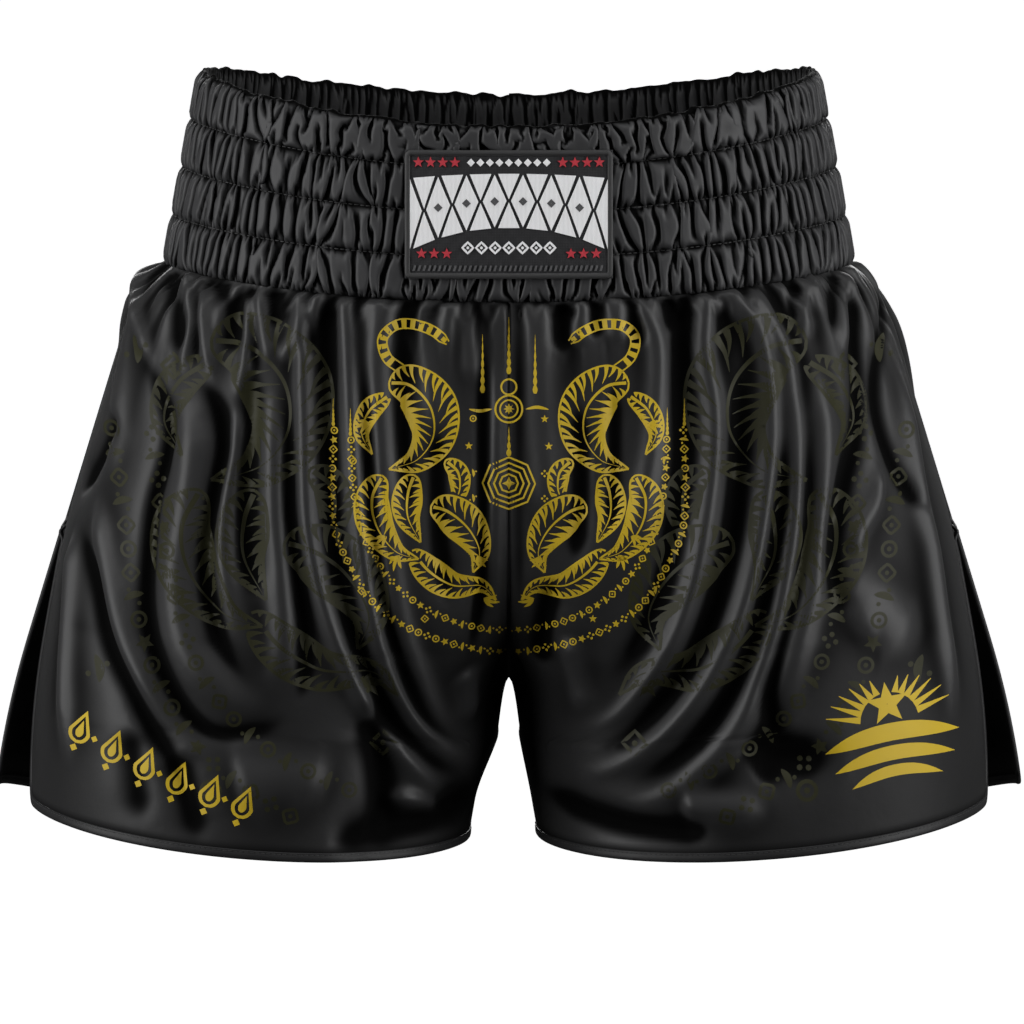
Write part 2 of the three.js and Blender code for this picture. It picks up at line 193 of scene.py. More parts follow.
def distance_out(x, y, half_width, half_depth):
    """Distance of points out from a superellipse, and the direction that way."""
    u, v = np.abs(x) / half_width, np.abs(y) / half_depth
    un, vn = u ** (POWER - 1), v ** (POWER - 1)
    f = np.maximum(un * u + vn * v, 1e-6) ** (1 / POWER)
    gx = un / half_width * np.sign(x)
    gy = vn / half_depth * np.sign(y)
    size = np.maximum(np.sqrt(gx**2 + gy**2), 1e-9)
    return (f - 1) / (f ** (1 - POWER) * size), gx / size, gy / size


# ---- lines ------------------------------------------------------------------------------------------
def distance_along(line):
    """The distance from the start of a line to each of its points."""
    return np.concatenate([[0.0], np.cumsum(np.linalg.norm(np.diff(line, axis=0), axis=1))])


def resample(line, step):
    """A line at even steps."""
    run = distance_along(line)
    even = np.linspace(0, run[-1], max(3, int(round(run[-1] / step)) + 1))
    return np.stack([np.interp(even, run, line[:, k]) for k in range(line.shape[1])], axis=-1)


def spline(points, per_span):
    """A smooth curve through points."""
    p = np.asarray(points, float)
    p = np.concatenate([[2 * p[0] - p[1]], p, [2 * p[-1] - p[-2]]])
    out = []
    for a, b, c, d in zip(p, p[1:], p[2:], p[3:]):
        t = np.linspace(0, 1, per_span, endpoint=False)[:, None]
        out.append((2 * b + (c - a) * t + (2 * a - 5 * b + 4 * c - d) * t**2
                    + (3 * b - 3 * c + d - a) * t**3) / 2)
    return np.concatenate(out + [p[-2][None]])


def ease_line(values, times):
    """Smooth the values along a line in place, leaving its ends alone."""
    for _ in range(times):
        values[1:-1] = (values[:-2] + 2 * values[1:-1] + values[2:]) / 4


def unit(vectors):
    return vectors / np.linalg.norm(vectors, axis=-1, keepdims=True)


# ---- meshes -----------------------------------------------------------------------------------------
def grid_mesh(name, verts, quads, material):
    """A mesh from arrays, quicker than from_pydata for large grids."""
    mesh = bpy.data.meshes.new(name)
    mesh.vertices.add(len(verts))
    mesh.vertices.foreach_set("co", (np.asarray(verts, np.float32) * MM).ravel())
    mesh.loops.add(quads.size)
    mesh.loops.foreach_set("vertex_index", quads.astype(np.int32).ravel())
    mesh.polygons.add(len(quads))
    mesh.polygons.foreach_set("loop_start", np.arange(0, quads.size, quads.shape[1], dtype=np.int32))
    mesh.polygons.foreach_set("use_smooth", np.ones(len(quads), bool))
    mesh.update(calc_edges=True)
    mesh.validate()
    obj = bpy.data.objects.new(name, mesh)
    bpy.context.scene.collection.objects.link(obj)
    mesh.materials.append(material)
    return obj


def paint_shade(obj, values):
    """Store the painted shade of the cloth in its 'open' attribute, for its material: a factor that is 0
    deep in a fold, where the shade is darkest, and 1 on a crown, where none is painted.
    """
    layer = obj.data.color_attributes.new("open", "FLOAT_COLOR", "POINT")
    colours = np.ones((len(obj.data.vertices), 4), np.float32)
    colours[:, :3] = np.clip(values, 0, 1).reshape(-1, 1)
    layer.data.foreach_set("color", colours.ravel())


def fold_shade_factor(height, reach_in, depth, full=0.6):
    """The factor for painted shade: 1 on crowns and 0 in creases, where the shade is painted darkest,
    from how far a height stands over its neighbourhood.
    """
    around = height.copy()
    for _ in range(reach_in):
        padded = np.pad(around, 1, mode="edge")
        around = (padded[:-2, 1:-1] + padded[2:, 1:-1] + padded[1:-1, :-2] + padded[1:-1, 2:]) / 4
    return smooth(-1.0, full, (height - around) / depth)


def grid_quads(rows, columns, start=0, wrap=False, flip=False):
    """The faces between the points of a grid; wrap joins its last column to its first."""
    r, c = np.meshgrid(np.arange(rows - 1), np.arange(columns if wrap else columns - 1),
                       indexing="ij")
    c2 = (c + 1) % columns
    quads = np.stack([r * columns + c, r * columns + c2, (r + 1) * columns + c2,
                      (r + 1) * columns + c], axis=-1).reshape(-1, 4) + start
    return quads[:, ::-1] if flip else quads


def grid_normals(grid):
    """Unit normals of a grid of points, by central differences."""
    n = np.cross(np.gradient(grid, axis=1), np.gradient(grid, axis=0))
    return n / np.maximum(np.linalg.norm(n, axis=-1, keepdims=True), 1e-9)


# ---- cloth ------------------------------------------------------------------------------------------
SHEAR_STIFFNESS = 0.25


def relax(points, rest_u, rest_v, free, settle, iterations, push, bend, skew=0.0):
    """Relax a grid of cloth to its rest lengths, in place. free is 0 where it is held; settle keeps
    it on its side of what it lies on; push moves it a little each time, as weight or air does; skew
    is the dot product of each cell's two sides."""
    rows, columns = points.shape[:2]
    jobs = []

    def links(dr, dc, rest, stiffness, push_only):
        low, high = max(0, -dc), columns - max(0, dc)
        span = max(dr, 1) if dr else dc
        count = rows - dr if dr else high - low
        for first in range(2 * span):
            if first >= count:
                continue
            if dr:
                a = (slice(first, rows - dr, 2 * span), slice(low, high))
                b = (slice(first + dr, rows, 2 * span), slice(low + dc, high + dc))
                picked = rest[first::2 * span]
            else:
                a = (slice(0, rows), slice(first, columns - dc, 2 * span))
                b = (slice(0, rows), slice(first + dc, columns, 2 * span))
                picked = rest[:, first::2 * span]
            both = np.maximum(free[a] + free[b], 1e-9)
            jobs.append((a, b, picked, stiffness * free[a] / both, stiffness * free[b] / both,
                         push_only))

    links(0, 1, rest_u, 1.0, False)
    links(1, 0, rest_v, 1.0, False)
    sides = ((rest_u[:-1] + rest_u[1:]) / 2) ** 2 + ((rest_v[:, :-1] + rest_v[:, 1:]) / 2) ** 2
    links(1, 1, np.sqrt(np.maximum(sides + 2 * skew, 0.01)), SHEAR_STIFFNESS, False)
    links(1, -1, np.sqrt(np.maximum(sides - 2 * skew, 0.01)), SHEAR_STIFFNESS, False)
    links(0, 2, rest_u[:, :-1] + rest_u[:, 1:], bend[0], True)
    links(2, 0, rest_v[:-1] + rest_v[1:], bend[1], True)
    held = free[..., None]
    for _ in range(iterations):
        points += push * held
        for a, b, rest, ka, kb, push_only in jobs:
            d = points[b] - points[a]
            length = np.sqrt(np.einsum("ijk,ijk->ij", d, d)) + 1e-6
            error = 1.0 - rest / length
            if push_only:
                error = np.minimum(error, 0.0)
            points[a] += d * (ka * error)[..., None]
            points[b] -= d * (kb * error)[..., None]
        settle(points)
    return points


def refine(grid, rows, columns):
    """The same grid of points with more rows and columns, by cubic interpolation."""
    def along_first(values, count):
        t = np.linspace(0, len(values) - 1, count)
        i = np.clip(t.astype(int), 0, len(values) - 2)
        f = (t - i).reshape(-1, *[1] * (values.ndim - 1)).astype(values.dtype)
        at = [values[np.clip(i + k, 0, len(values) - 1)] for k in (-1, 0, 1, 2)]
        a = 2 * at[1]
        b = at[2] - at[0]
        c = 2 * at[0] - 5 * at[1] + 4 * at[2] - at[3]
        d = 3 * at[1] - 3 * at[2] + at[3] - at[0]
        return (a + b * f + c * f**2 + d * f**3) / 2
    tall = along_first(grid, rows)
    return np.swapaxes(along_first(np.swapaxes(tall, 0, 1), columns), 0, 1).copy()


def wave_noise(rng, count, length, wavelength):
    """Smooth random values along a line, about one swing per wavelength."""
    knots = int(max(4, length / wavelength * 2))
    values = rng.normal(0.0, 1.0, knots + 3)
    t = np.linspace(0, knots, count)
    i = t.astype(int)
    f = t - i
    f = f * f * (3 - 2 * f)
    return values[i] * (1 - f) + values[i + 1] * f


# ---- the waistband ----------------------------------------------------------------------------------
CHANNEL_ROWS = 20                  # grid rows in one channel
BAND_COLUMNS = 1281
BAND_FULLNESS = 1.62               # cloth round the band for each length of elastic
CHANNEL_FULLNESS = 1.035           # cloth down one channel for each height of it
CASING_MIN, CASING_MAX = 0.95, 3.7  # how near and how far from the elastic's middle it may lie
STITCHED_MIN, UNDER_LABEL_MAX = 0.45, 2.6
RIM_INSIDE = 1.1                   # how far the rim's fold reaches inside the elastic's middle
LINING_ROWS = 49
LABEL_SIZE = (99.0, 61.0)
LABEL_TOP = -12.5


def band_half(down):
    """Half width and half depth of the middle of the band, at a share down it."""
    return [lerp(rim, seam, down) for rim, seam in zip(RIM_HALF, SEAM_HALF)]


def band_point(angle, down, out):
    """Points at an angle round the band, a share down it, and a distance out from its middle."""
    rho = reach(angle)
    across = rho * np.cos(angle)
    half_width, half_depth = band_half(down)
    x = (half_width + out) * across
    y = -(half_depth + out) * rho * np.sin(angle)
    z = lerp(rim_height(across), seam_height(across), down)
    return np.stack(np.broadcast_arrays(x, y, z), axis=-1)


def band_front(x, z, down, out):
    """The point of the band's front at x and z, a distance out from the middle of its cloth."""
    half_width, half_depth = [half + out for half in band_half(down)]
    return np.stack([x, -half_depth * partner(x / half_width), z], axis=-1)


def even_angles(count):
    """Angles at even distances round the band, from the centre back round to it again."""
    fine = np.linspace(-np.pi / 2, 1.5 * np.pi, 6000)
    run = distance_along(band_point(fine, 0.5, 0.0))
    return np.interp(np.linspace(0, run[-1], count), run, fine), run[-1]


def band_out(points, down):
    """Distance of points out from the middle of the band, and the direction that way."""
    return distance_out(points[..., 0], points[..., 1], *band_half(down))


def band_limits(base, share):
    """How close to the elastic the cloth may come at a share down its channel, and how far out,
    which is less under the label."""
    closest = lerp(STITCHED_MIN, CASING_MIN, smooth(0.0, 0.18, np.minimum(share, 1 - share)))
    x, y, z = np.moveaxis(base, -1, 0)
    under = (np.abs(x) < LABEL_SIZE[0] / 2 - 1) & (y < 0) & (z < LABEL_TOP - 1)
    under &= z > LABEL_TOP - LABEL_SIZE[1] + 1
    farthest = np.where(under, UNDER_LABEL_MAX, CASING_MAX)
    return closest[:, None].astype(np.float32), farthest.astype(np.float32)


def relaxed_band():
    """The outer wall of the casing: cloth gathered into four puffed channels."""
    rng = np.random.default_rng(11)
    angles, girth = even_angles(BAND_COLUMNS)

    def around(wavelength):
        return wave_noise(rng, BAND_COLUMNS, girth, wavelength)

    puffs = np.array([around(5.0) for _ in range(CHANNELS * 3 + 1)])
    pleats = [np.abs(around(3.2)) for _ in range(CHANNELS + 1)]
    drift = [2.0 * around(15.0) + 0.8 * around(5.0) for _ in range(CHANNELS + 1)]
    lift = around(9.0)
    places = np.arange(BAND_COLUMNS)
    fade = np.minimum(1.0, np.minimum(places, places[::-1]) / 20)
    run = np.linspace(0, girth, BAND_COLUMNS)
    stitched_angles = []
    for shift in drift:
        moved = lerp(np.maximum.accumulate(run + shift * fade), run, 0.15)
        stitched_angles.append(np.interp(moved, run, angles))
    grid = None
    for level, iterations in ((4, 160), (2, 120), (1, 60)):
        rows = CHANNELS * CHANNEL_ROWS // level + 1
        columns = (BAND_COLUMNS - 1) // level + 1
        per_channel = CHANNEL_ROWS // level
        down = np.linspace(0, 1, rows)[:, None]
        share = (np.arange(rows) % per_channel) / per_channel
        base = band_point(angles[None, ::level], down, 0.0)
        if grid is None:
            rough = puffs[np.arange(rows) * 3 // per_channel, ::level]
            out = 1.6 + np.sin(np.pi * share)[:, None] * (2.0 + 1.6 * rough)
            grid = band_point(angles[None, ::level], down, out).astype(np.float32)
        else:
            grid = refine(grid, rows, columns)
        stitched = np.arange(0, rows, per_channel)
        for i, row in enumerate(stitched):
            out = 0.7 + (0.6 if i else 0.3) * pleats[i][::level]
            grid[row] = band_point(stitched_angles[i][::level], down[row], out)
        grid[0, :, 2] += 0.6 * lift[::level] - 0.8 + 1.4 * grid[0, :, 1] / RIM_HALF[1]
        free = np.ones((rows, columns), np.float32)
        free[stitched] = 0
        free[:, [0, -1]] = 0
        step_u = girth * BAND_FULLNESS / (columns - 1)
        step_v = BAND_HEIGHT / CHANNELS * CHANNEL_FULLNESS / per_channel
        rest_u = np.full((rows, columns - 1), step_u, np.float32)
        rest_v = np.full((rows - 1, columns), step_v, np.float32)
        closest, farthest = band_limits(base, share)
        down32 = down.astype(np.float32)

        def settle(points):
            out, nx, ny = band_out(points, down32)
            move = np.clip(out, closest, farthest) - out
            points[..., 0] += move * nx
            points[..., 1] += move * ny

        _, nx, ny = band_out(base, down)
        push = np.stack([nx, ny, np.full_like(nx, -0.25)], axis=-1).astype(np.float32) * 0.012 * level
        relax(grid, rest_u, rest_v, free, settle, iterations, push, bend=(0.08, 0.05))
    return grid, angles


def build_casing(material):
    """The casing in one piece: its outer wall, the fold over the rim and its inner wall."""
    outer, angles = relaxed_band()
    rows, columns = outer.shape[:2]
    out, _, _ = band_out(outer, np.linspace(0, 1, rows)[:, None])
    middle, radius = (out[0] - RIM_INSIDE) / 2, (out[0] + RIM_INSIDE) / 2
    fold = []
    for turn in np.linspace(0, np.pi, 7)[1:-1]:
        row = band_point(angles, 0.0, middle + radius * np.cos(turn))
        row[:, 2] = outer[0, :, 2] + 0.9 * np.sin(turn)
        fold.append(row)
    puffs = refine(np.roll(out, 23, axis=1)[..., None], LINING_ROWS, columns)[..., 0]
    inner_out = -0.55 - 0.62 * puffs
    inner = band_point(angles[None, :], np.linspace(0, 1, LINING_ROWS)[:, None], inner_out)
    inner[0, :, 2] = outer[0, :, 2]
    grid = np.concatenate([outer[::-1], np.stack(fold), inner], axis=0)
    casing = grid_mesh("waistband_cloth", grid.reshape(-1, 3), grid_quads(len(grid), columns),
                       material)
    # Painted shade: the outer wall is darker in the creases between its puffs, the inner wall is darker
    # still, overall and in its creases, as it lies in the shade inside the band, and the rows of the
    # fold over the rim are blended from one to the other.
    face = fold_shade_factor(out, 12, 0.62)
    lining = 0.6 * fold_shade_factor(-inner_out, 8, 0.3) ** 4
    between = np.linspace(face[0], lining[0], len(fold) + 2)[1:-1]
    paint_shade(casing, np.concatenate([face[::-1], between, lining], axis=0))
    return casing, outer


# ---- the leg panels ---------------------------------------------------------------------------------
PANEL_ROWS, PANEL_COLUMNS = 177, 217
GATHER = 0.16                      # extra cloth across a panel at the waist seam
GATHER_FADE = 16.0
EASE = 0.004                       # extra cloth that is left at the hem
CLOTH = 0.45
FOLD_DEPTH = 0.95
AT_SEAM = -95.0                    # a fold that starts above this height starts at the seam
INSEAM_SHIFT = {"left": 8.0, "right": 1.5}
TUCK = 3.0                         # how far a panel runs up inside the waistband
SEAM_LENGTH = 215.0                # from the side to the centre along the waist seam, for the gathers
FOLD_LIMITS = (-9.0, 10.0)         # how far in and out of the worn shape the cloth may go
CENTRE_GAP = 0.1                   # the least distance of a leg's cloth from the middle of the shorts
LEG_MIDDLE = 90.0

# The folds of each panel: points across and up, then half width and height in or out.
FOLDS = {
    ("front", "left"): [
        ([(173, -79), (182, -115), (187, -149), (190, -175)], 11, 4),
        ([(158, -128), (151, -155), (154, -187), (158, -219), (152, -251), (133, -272), (112, -278)],
         11, 6),
        ([(128, -130), (130, -155), (136, -187), (134, -219), (123, -251)], 6, 4),
        ([(115, -124), (112, -155), (111, -187), (108, -219), (107, -251), (116, -273)], 8, 5),
        ([(90, -82), (97, -103), (97, -145), (96, -187), (89, -225), (76, -261), (61, -289),
          (40, -314), (25, -325)], 5, 5),
        ([(78, -88), (76, -124), (74, -155), (70, -198), (63, -244), (50, -278), (33, -299),
          (12, -312)], 5, 5),
        ([(61, -88), (63, -124), (59, -187), (52, -240), (40, -272), (27, -295)], 7, 3.5),
        ([(21, -261), (18, -289)], 8, 3),
        ([(133, -318), (107, -312), (84, -320)], 16, 5),
        ([(66, -272), (61, -300), (58, -330), (60, -352)], 10, -8),
        ([(88, -347), (60, -340), (30, -331), (16, -322)], 11, -7),
        ([(60, -322), (42, -326), (28, -333)], 5, 4),
        ([(160, -300), (153, -322), (148, -348)], 10, -4),
        ([(182, -288), (179, -312), (175, -336)], 9, -3),
        ([(12, -100), (12, -160), (13, -220), (20, -262)], 4, -4),
        ([(5, -105), (6, -180), (7, -250)], 3, 2.5),
        ([(34, -140), (33, -190), (28, -235)], 7, -5),
        ([(50, -100), (50, -150), (46, -190)], 5, -4),
        ([(207, -196), (209, -230), (211, -272), (211, -314)], 8, 5),
        ([(197, -179), (192, -208), (184, -244), (173, -268), (158, -293)], 8, 5),
        ([(176, -112), (169, -126), (162, -145), (164, -162), (170, -183), (172, -208), (172, -236),
          (165, -261), (152, -282), (137, -291), (116, -288), (102, -280)], 5, -6),
        ([(150, -122), (139, -136), (136, -155), (140, -179), (144, -204), (142, -230),
          (135, -251), (122, -269)], 4.5, -6),
        ([(122, -113), (124, -145), (125, -177), (123, -208), (120, -227)], 8, -6),
        ([(105, -124), (104, -187), (99, -230), (97, -261), (101, -278)], 5, -4),
        ([(205, -196), (198, -219), (192, -246), (180, -270), (173, -285), (158, -310),
          (154, -333)], 6, -6),
        ([(85, -92), (86, -145), (83, -198), (74, -244), (57, -282), (35, -306), (18, -318)], 5, -4.5),
        ([(68, -103), (67, -155), (63, -208), (54, -251), (40, -285), (18, -304)], 5, -4),
        ([(184, -142), (196, -162), (206, -184)], 9, -6),
        ([(173, -76), (176, -98), (169, -122)], 4, 3),
        ([(150, -77), (152, -103), (157, -124)], 4, 3),
        ([(161, -78), (158, -96), (158, -113)], 6, -3.5),
        ([(148, -77), (149, -119)], 2.5, -3),
        ([(145, -78), (145, -103), (139, -126)], 4, 3),
        ([(124, -79), (124, -109), (130, -134)], 4, 3),
        ([(136, -79), (131, -96), (132, -111)], 6, -4),
        ([(122, -79), (121, -124)], 2.5, -3),
        ([(118, -80), (116, -103), (112, -115)], 4, 3),
        ([(97, -83), (102, -103), (110, -115)], 4, 3),
        ([(111, -81), (110, -98)], 6, -3),
        ([(95, -83), (94, -113)], 3, -3.5),
        ([(40, -90), (38, -118), (34, -150)], 5, 2),
        ([(20, -90), (18, -125)], 5, 2),
    ],
    ("front", "right"): [
        ([(61, -88), (71, -107), (69, -146), (64, -180), (61, -210)], 6, 3.5),
        ([(93, -86), (92, -107), (97, -135), (97, -163), (93, -193), (88, -218), (79, -244),
          (66, -266), (51, -283), (33, -292)], 6, 5.5),
        ([(104, -84), (117, -101), (123, -124), (124, -156), (121, -189), (114, -221), (104, -248),
          (89, -274), (70, -295), (48, -309), (27, -314)], 6, 5.5),
        ([(117, -86), (130, -109), (134, -131), (136, -156), (136, -189), (131, -223), (123, -253),
          (110, -285), (93, -306), (70, -323), (42, -331)], 6.5, 5.5),
        ([(145, -112), (148, -135), (150, -156), (148, -189), (146, -214), (138, -244), (133, -266),
          (136, -285)], 9, 5.5),
        ([(145, -78), (139, -92), (145, -105)], 7, 3),
        ([(185, -114), (190, -146), (196, -184), (202, -210), (206, -242), (211, -270),
          (213, -295)], 8, 5),
        ([(176, -163), (175, -182), (166, -197), (166, -210)], 5, 3.5),
        ([(160, -242), (175, -233), (185, -240), (198, -253)], 16, 4),
        ([(27, -244), (33, -266), (36, -285)], 7, 3),
        ([(80, -326), (100, -326), (125, -328)], 9, 4.5),
        ([(112, -290), (130, -302), (162, -302)], 13, -5.5),
        ([(14, -322), (45, -333), (80, -338), (98, -334)], 8, -7),
        ([(4, -95), (4, -180), (6, -240)], 3, -3),
        ([(14, -92), (16, -150), (20, -195)], 7, 2.5),
        ([(34, -130), (34, -180), (30, -212)], 6, -5),
        ([(22, -215), (15, -245), (14, -262)], 7, -5),
        ([(50, -120), (50, -165), (48, -200)], 5, -4),
        ([(110, -112), (110, -146), (108, -180), (103, -210), (93, -242), (79, -268), (61, -289),
          (40, -302)], 6, -6),
        ([(130, -146), (129, -180), (123, -218), (114, -253), (100, -281), (81, -302),
          (57, -317)], 5, -5),
        ([(165, -92), (168, -124), (167, -150), (160, -171), (155, -193), (154, -210), (158, -227),
          (170, -231)], 7, -6.5),
        ([(141, -146), (142, -180), (137, -218), (128, -253), (123, -274), (130, -293),
          (151, -294)], 5.5, -5),
        ([(117, -313), (130, -304), (151, -304)], 9, -4),
        ([(179, -92), (176, -133), (183, -163), (192, -180), (201, -192)], 6, -5),
        ([(83, -92), (82, -124), (83, -156), (79, -189), (72, -223), (61, -248), (46, -270)], 7, -5),
        ([(25, -88), (25, -109)], 5, -3),
        ([(40, -86), (42, -103)], 5, -3),
        ([(59, -84), (63, -107)], 3, -3.5),
        ([(33, -86), (32, -107)], 5, 2.5),
        ([(51, -85), (52, -105)], 5, 2.5),
        ([(76, -83), (78, -99)], 5, -3),
        ([(134, -75), (136, -99)], 3, -3.5),
        ([(155, -73), (154, -103)], 3, -3.5),
        ([(160, -73), (161, -114)], 5, 3),
    ],
    ("back", "left"): [
        ([(150, -84), (158, -150), (152, -220), (138, -290), (128, -335)], 9, 5),
        ([(120, -84), (128, -160), (115, -240), (75, -300)], 8, 5),
        ([(135, -84), (143, -155), (136, -230), (116, -290), (100, -338)], 7, -4.5),
        ([(92, -84), (95, -150), (80, -220), (40, -290)], 8, 5),
        ([(106, -84), (111, -155), (98, -230), (58, -295)], 6, -5),
        ([(60, -84), (64, -150), (45, -220), (16, -265)], 7, 4),
        ([(76, -84), (80, -150), (62, -220), (28, -278)], 6, -4),
        ([(178, -84), (188, -150), (196, -220), (198, -300)], 9, 4),
        ([(166, -84), (174, -150), (178, -210), (168, -300)], 8, -4),
        ([(30, -88), (28, -150), (18, -200)], 6, 3),
        ([(45, -88), (44, -130), (36, -190)], 5, -3),
    ],
    ("back", "right"): [
        ([(160, -82), (166, -140), (160, -210), (144, -290), (134, -335)], 9, 5),
        ([(132, -84), (135, -150), (126, -230), (90, -295)], 8, 5),
        ([(146, -84), (151, -145), (145, -220), (126, -290), (112, -338)], 7, -4.5),
        ([(105, -84), (108, -150), (92, -220), (50, -285)], 8, 5),
        ([(118, -84), (122, -150), (109, -225), (70, -290)], 6, -5),
        ([(74, -86), (78, -150), (60, -215), (22, -270)], 7, 4),
        ([(90, -86), (93, -150), (76, -218), (36, -278)], 6, -4),
        ([(182, -84), (192, -150), (202, -230), (206, -300)], 9, 4),
        ([(172, -84), (180, -150), (186, -220), (182, -305)], 8, -4),
        ([(40, -88), (38, -160), (24, -210)], 6, 3),
        ([(55, -88), (56, -140), (42, -210)], 5, -3),
    ],
}


def lay_on(grid, curve):
    """The points of a grid nearest to a curve seen along Y, as a smooth line."""
    flat = grid.reshape(-1, 3)
    d = (flat[None, :, 0] - curve[:, None, 0]) ** 2 + (flat[None, :, 2] - curve[:, None, 1]) ** 2
    line = flat[np.argmin(d, axis=1)]
    line[:, [0, 2]] = curve
    ease_line(line[:, 1], 4)
    return line


def distance_to(line, points):
    """Distance of points to a line of segments, and the share along it of the nearest place."""
    near = np.full(points.shape[:-1], np.inf)
    at = np.zeros(points.shape[:-1])
    count = len(line) - 1
    for i, (a, b) in enumerate(zip(line, line[1:])):
        side = b - a
        t = np.clip((points - a) @ side / max(side @ side, 1e-9), 0.0, 1.0)
        d = np.linalg.norm(points - a - t[..., None] * side, axis=-1)
        closer = d < near
        near[closer] = d[closer]
        at[closer] = (i + t[closer]) / count
    return near, at


def fold_heights(grid, folds):
    """Height of every grid point above the worn shape. A fold that starts at the waist seam is
    full there; every other end fades out."""
    height = np.zeros(grid.shape[:2])
    for points, width, peak in folds:
        line = lay_on(grid, spline(points, 5))
        margin = width * (3.5 if peak > 0 else 6.0)
        low, high = line.min(axis=0) - margin, line.max(axis=0) + margin
        close = np.all((grid > low) & (grid < high), axis=-1)
        near, at = distance_to(line, grid[close])
        start = 1.0 if points[0][1] > AT_SEAM else smooth(0.0, 0.2, at)
        body = start * smooth(0.0, 0.3, 1.0 - at)
        spread = 0.9 * width * (0.75 + 0.25 * body)
        if peak > 0:
            shape = np.exp(-((near / spread) ** 2))
        else:
            shape = (1.0 + (near / spread) ** 2) ** -1.5 * smooth(1.0, 0.6, near / margin)
        height[close] += FOLD_DEPTH * peak * body * shape
    return height


def panel_base(face, rows, columns, shift):
    """The worn shape of a panel on the right-hand side, without folds. shift is how far the inseam
    hangs out of line near the hem."""
    across = np.linspace(0, 1, columns)[None, :]
    down = np.linspace(0, 1, rows)[:, None]
    drop = down * edge_drop(face, across)
    inset = SLIT_HALF_GAP * smooth(SLIT_DROP, SLIT_DROP + 8.0, drop)
    base = LEG[face].point(across, drop, inset)
    base[..., 0] += shift * smooth(211.0, 246.0, drop) * across ** 5
    return base, np.broadcast_to(drop, (rows, columns)), across


def leg_out(face, points, top):
    """Distance of points out from the worn shape of a leg, and the direction that way."""
    drop = np.clip(top - points[..., 2], 0.0, HEM_DROP + 25.0)
    middle, half, depth = LEG[face].section(drop)
    return distance_out(points[..., 0] - middle, points[..., 1], half, depth)


def kept_height(folds, strands, drop, across):
    """The heights of the folds with strands of gathers added, held in at the seams and the hem."""
    height = folds + 1.5 * np.exp(-drop / 26.0) * strands
    at_side = np.where(drop < SLIT_DROP, smooth(0.0, 0.05, across),
                       0.35 + 0.65 * smooth(0.0, 0.06, across))
    height = np.clip(height, FOLD_LIMITS[0], FOLD_LIMITS[1] - 0.5) * smooth(0.0, 0.035, 1 - across)
    height *= at_side
    return height * (1.0 - 0.55 * smooth(0.93, 1.0, np.linspace(0, 1, len(drop)))[:, None])


def cut_lengths(target, drop):
    """The rest lengths across and down a panel, with its gathers, and the skew of its cells."""
    full = 1.0 + EASE + GATHER * np.exp(-drop / GATHER_FADE)
    side_u, side_v = np.diff(target, axis=1), np.diff(target, axis=0)
    rest_u = np.linalg.norm(side_u, axis=-1) * (full[:, 1:] + full[:, :-1]) / 2
    rest_v = np.linalg.norm(side_v, axis=-1)
    skew = np.einsum("ijk,ijk->ij", (side_u[:-1] + side_u[1:]) / 2,
                     (side_v[:, :-1] + side_v[:, 1:]) / 2) * full[:-1, :-1]
    return [values.astype(np.float32) for values in (rest_u, rest_v, skew)]


def relaxed_panel(face, side):
    """The outer face of a panel: the worn shape with its folds, then relaxed as cloth so that the
    gathers at the waist seam and the tension between the folds form by themselves."""
    rng = np.random.default_rng({"front": 5, "back": 9}[face] + (side == "right") * 40)
    seam_pleats, fine_pleats, strands = [wave_noise(rng, PANEL_COLUMNS, SEAM_LENGTH, wavelength)
                                         for wavelength in (9.0, 4.0, 15.0)]
    flat = panel_base(face, PANEL_ROWS, PANEL_COLUMNS, INSEAM_SHIFT[side])[0]
    folds = fold_heights(flat, FOLDS[face, side])
    grid = None
    for level, iterations in ((4, 120), (2, 90), (1, 60)):
        rows, columns = (PANEL_ROWS - 1) // level + 1, (PANEL_COLUMNS - 1) // level + 1
        base, drop, across = panel_base(face, rows, columns, INSEAM_SHIFT[side])
        top = seam_height(seam_across(across))
        out_normal = grid_normals(base)
        if np.mean(out_normal[..., 1] * base[..., 1]) < 0:
            out_normal = -out_normal
        height = kept_height(folds[::level, ::level], strands[::level], drop, across)
        seam_out = 0.6 + 0.75 * seam_pleats[::level] + 0.4 * fine_pleats[::level]
        height[0] = np.clip(seam_out, -0.3, 2.2)
        target = (base + out_normal * height[..., None]).astype(np.float32)
        grid = target.copy() if grid is None else refine(grid, rows, columns)
        free = np.ones((rows, columns), np.float32)
        free[0] = 0
        free[:, -1] = 0
        free[drop[:, 0] < SLIT_DROP, 0] = 0
        grid[free == 0] = target[free == 0]
        rest_u, rest_v, skew = cut_lengths(target, drop)
        pull = (free * lerp(0.02, 0.05, smooth(10, 60, drop)))[..., None].astype(np.float32)
        top32 = top.astype(np.float32)

        def settle(points):
            points += pull * (target - points)
            out, nx, ny = leg_out(face, points, top32)
            move = (np.clip(out, *FOLD_LIMITS) - out) * free
            points[..., 0] += move * nx
            points[..., 1] += move * ny
            np.maximum(points[..., 0], CENTRE_GAP, out=points[..., 0])

        push = (out_normal * 0.008 * level).astype(np.float32)
        relax(grid, rest_u, rest_v, free, settle, iterations, push, bend=(0.3, 0.3), skew=skew)
    soften(grid, 2)
    # The painted shade of the cloth, from how its relaxed folds lie.
    cloth_shade_factor = panel_shade_factor(leg_out(face, grid, top)[0], drop)
    tucked = grid[:1] + np.array([0, 0, TUCK])
    tucked[..., :2] *= 1.0 - 1.4 / np.linalg.norm(tucked[..., :2], axis=-1, keepdims=True)
    grid = np.concatenate([tucked, grid], axis=0)
    if side == "left":
        grid[..., 0] *= -1
    return grid, np.concatenate([cloth_shade_factor[:1], cloth_shade_factor])


